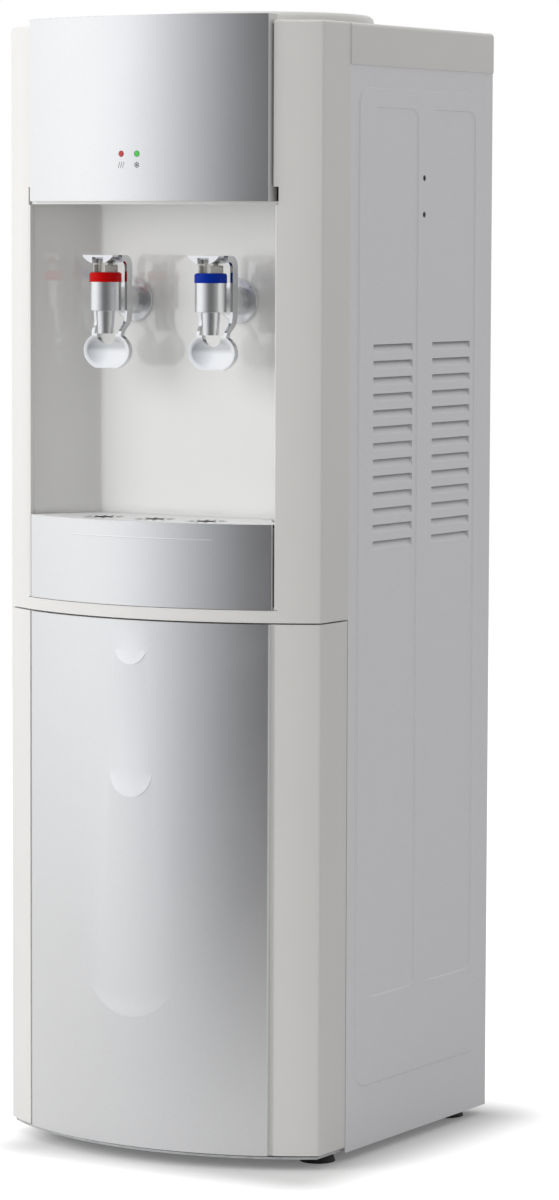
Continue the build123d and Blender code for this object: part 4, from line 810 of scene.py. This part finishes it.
# %% Trim beside the alcove
TRIM_OUTER = 0.12445
TRIM_INNER = 0.1219
TRIM_DEPTH = 0.0042
TRIM_ROUND = 0.0006
TRIM_FOOT = 0.0005
TRIM_HEAD = 0.003
MOUTH_RADIUS = 0.2719
FLAT_STEPS = 5
ROUND_STEPS = 6
HEIGHT_STEPS = 9
trim_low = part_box("tap_alcove")[0][2] + TRIM_FOOT
trim_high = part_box("tap_alcove")[1][2] - TRIM_HEAD


def trim(side):
    """A strip up the side of the mouth: its plan runs along the bow from the outer to the inner
    edge, turns a quarter circle of the rounding and goes straight back; the height is the second
    parameter. The columns of one side are turned round, so that both sides face outwards."""
    flat = np.linspace(TRIM_OUTER, TRIM_INNER + TRIM_ROUND, FLAT_STEPS)
    turned = np.linspace(0, math.pi / 2, ROUND_STEPS)
    bowed = BOW_CENTRE - np.sqrt(MOUTH_RADIUS**2 - flat**2)
    corner_x = TRIM_INNER + TRIM_ROUND * (1 - np.sin(turned))
    corner_y = bowed[-1] + TRIM_ROUND * (1 - np.cos(turned))
    x = np.concatenate((flat, corner_x, (TRIM_INNER,)))
    y = np.concatenate((bowed, corner_y, (bowed[-1] + TRIM_DEPTH,)))
    heights = np.linspace(trim_low, trim_high, HEIGHT_STEPS)
    strip = np.stack(np.broadcast_arrays(side * x[None], y[None], heights[:, None]), axis=-1)
    return strip[:, ::-side]


surface("alcove_trim", np.stack((trim(-1), trim(1))), "cabinet", "white_moulding")
print("trim from", round(trim_low, 4), "to", round(trim_high, 4), "m")


# %% [markdown]
# Screws. The sheet at the back of a cooler is held by small pan-head screws round its rim, and the
# fan by four more. A head is turned to a flat dome and the cross is stamped into it. As a surface
# it is a height above the sheet for each radius and angle: the dome less the cross.

# %% Screw heads at the back
REAR_SHEET = 0.167
SCREW_RADIUS = 0.0036
SCREW_DOME = 0.0014
CROSS_WIDTH = 0.13
CROSS_REACH = 0.55
CROSS_DEPTH = 0.55
HEAD_RINGS = 12
HEAD_STEPS = 49
RIM_X = 0.148
RIM_HEIGHTS = (0.040, 0.260, 0.480, 0.700, 0.905)
FAN_CENTRE = (0, 0.783)
FAN_PITCH = 0.041


def screw_heads(places):
    """Screw heads on the rear sheet. Height = dome * (1 - r^4) less a cross, whose depth is a steep
    bell of the distance to the nearer of two crossed lines and ends at about half the radius."""
    r = np.linspace(0, 1, HEAD_RINGS)[:, None]
    angle = np.linspace(0, 2 * math.pi, HEAD_STEPS)[None, :]
    across, up = r * np.cos(angle), r * np.sin(angle)
    nearer = np.minimum(abs(across), abs(up))
    cross = np.exp(-((nearer / CROSS_WIDTH) ** 4) - (r / CROSS_REACH) ** 8)
    height = SCREW_DOME * (1 - r**4 - CROSS_DEPTH * cross)
    head = np.stack((across * SCREW_RADIUS, REAR_SHEET + height, up * SCREW_RADIUS), axis=-1)
    shifts = np.stack((places[:, 0], np.zeros(len(places)), places[:, 1]), axis=-1)
    return head[None] + shifts[:, None, None]


def crossings(columns, rows):
    """Every crossing of these columns and rows, as a list of points."""
    return np.stack(np.meshgrid(columns, rows), axis=-1).reshape(-1, 2)


rim = crossings((-RIM_X, RIM_X), RIM_HEIGHTS)
fan_corners = crossings((-FAN_PITCH, FAN_PITCH), (-FAN_PITCH, FAN_PITCH)) + np.array(FAN_CENTRE)
surface("rear_screws", screw_heads(rim), "cabinet", "pin_steel")
surface("fan_screws", screw_heads(fan_corners), "cabinet", "pin_steel")
print(len(rim), "rim screws and", len(fan_corners), "fan screws")


# %% [markdown]
# Switch signs. Every rocker switch has a line for on and a ring for off, moulded into its two
# slopes. They ride on the rockers, so they tip with them. The signs are drawn flat, like the ink,
# and folded onto the two slopes.

# %% Line and ring on the rockers
ROCKERS = {"hot_rocker": -0.115, "cold_rocker": -0.095}
TRUNNION = np.array((0, 0.166, 0.600))
REST_TILT = math.radians(8)
FACE_DIP = 0.0018
FACE_RISE = 0.0012
FACE_HALF = 0.0098
MARK_PLACE = 0.0058
MARK_HALF = 0.0020
MARK_LINE = 0.00035

outward = np.array((0, math.cos(REST_TILT), -math.sin(REST_TILT)))
upslope = np.array((0, math.sin(REST_TILT), math.cos(REST_TILT)))
lap = np.linspace(0, 2 * math.pi, LINE_STEPS * 2)
ring_path = pointing(lap)[None] * MARK_HALF + np.array((0, -MARK_PLACE))
line_ends = np.array([(0, MARK_PLACE - MARK_HALF), (0, MARK_PLACE + MARK_HALF)])
line_path = lines(line_ends[:1], line_ends[1:])


def on_rocker(x, across, up, rise):
    """Folds a drawing, as seen from behind, onto the two slopes: point = trunnion + up along the
    slope + (dip + rise * |up| / half) outward."""
    depth = FACE_DIP + FACE_RISE * abs(up) / FACE_HALF + rise
    level = (x - across)[..., None] * np.array((1, 0, 0))
    return TRUNNION + level + up[..., None] * upslope + depth[..., None] * outward


for body, x in ROCKERS.items():
    surface(body + "_line", on_rocker(x, *ink(line_path, MARK_LINE)), body, "stem_white")
    surface(body + "_ring", on_rocker(x, *ink(ring_path, MARK_LINE)), body, "stem_white")
print("signs on", len(ROCKERS), "rockers")


# %% [markdown]
# Return springs. Inside each tap a coil presses the seal down, so the tap shuts when the lever is
# let go. It is wound from round wire, with the end turns closed so that they sit flat. The solid in
# the frame only holds the coil's space and can't shorten, so the coil stands for it and the solid
# is hidden.

# %% Coils in the taps
COIL_TURNS = 4.5
COIL_WIRE = 0.0004
COIL_STEPS = 217
WIRE_STEPS = 13


def coil(low, high):
    """A wire along a helix in the box of its solid: point = axis + (ring + wire cos v) outward +
    (height + wire sin v) up. The height climbs as t - sin(2 pi t) / (2 pi), which is slow at both
    ends, and the wire thins to a tip there as the root of 1 - s^60, with s from -1 to 1."""
    s = np.linspace(-TIP, TIP, COIL_STEPS)[:, None]
    v = np.linspace(2 * math.pi, 0, WIRE_STEPS)[None, :]
    t = (s + 1) / 2
    wire = COIL_WIRE * np.sqrt(1 - s**60)
    climb = t - np.sin(2 * math.pi * t) / (2 * math.pi)
    height = low[2] + COIL_WIRE + (high[2] - low[2] - 2 * COIL_WIRE) * climb + wire * np.sin(v)
    out = (high[0] - low[0]) / 2 - 2 * COIL_WIRE + wire * np.cos(v)
    turn = 2 * math.pi * COIL_TURNS * t
    x = (low[0] + high[0]) / 2 + out * np.cos(turn)
    y = (low[1] + high[1]) / 2 + out * np.sin(turn)
    return np.stack((x, y, height), axis=-1)[None]


for heat in ("hot", "cold"):
    low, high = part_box(heat + "_tap_spring")
    piece = surface(heat + "_coil", coil(low, high), "cabinet", "spring_steel")
    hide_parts(heat + "_tap_spring")
    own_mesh(piece)
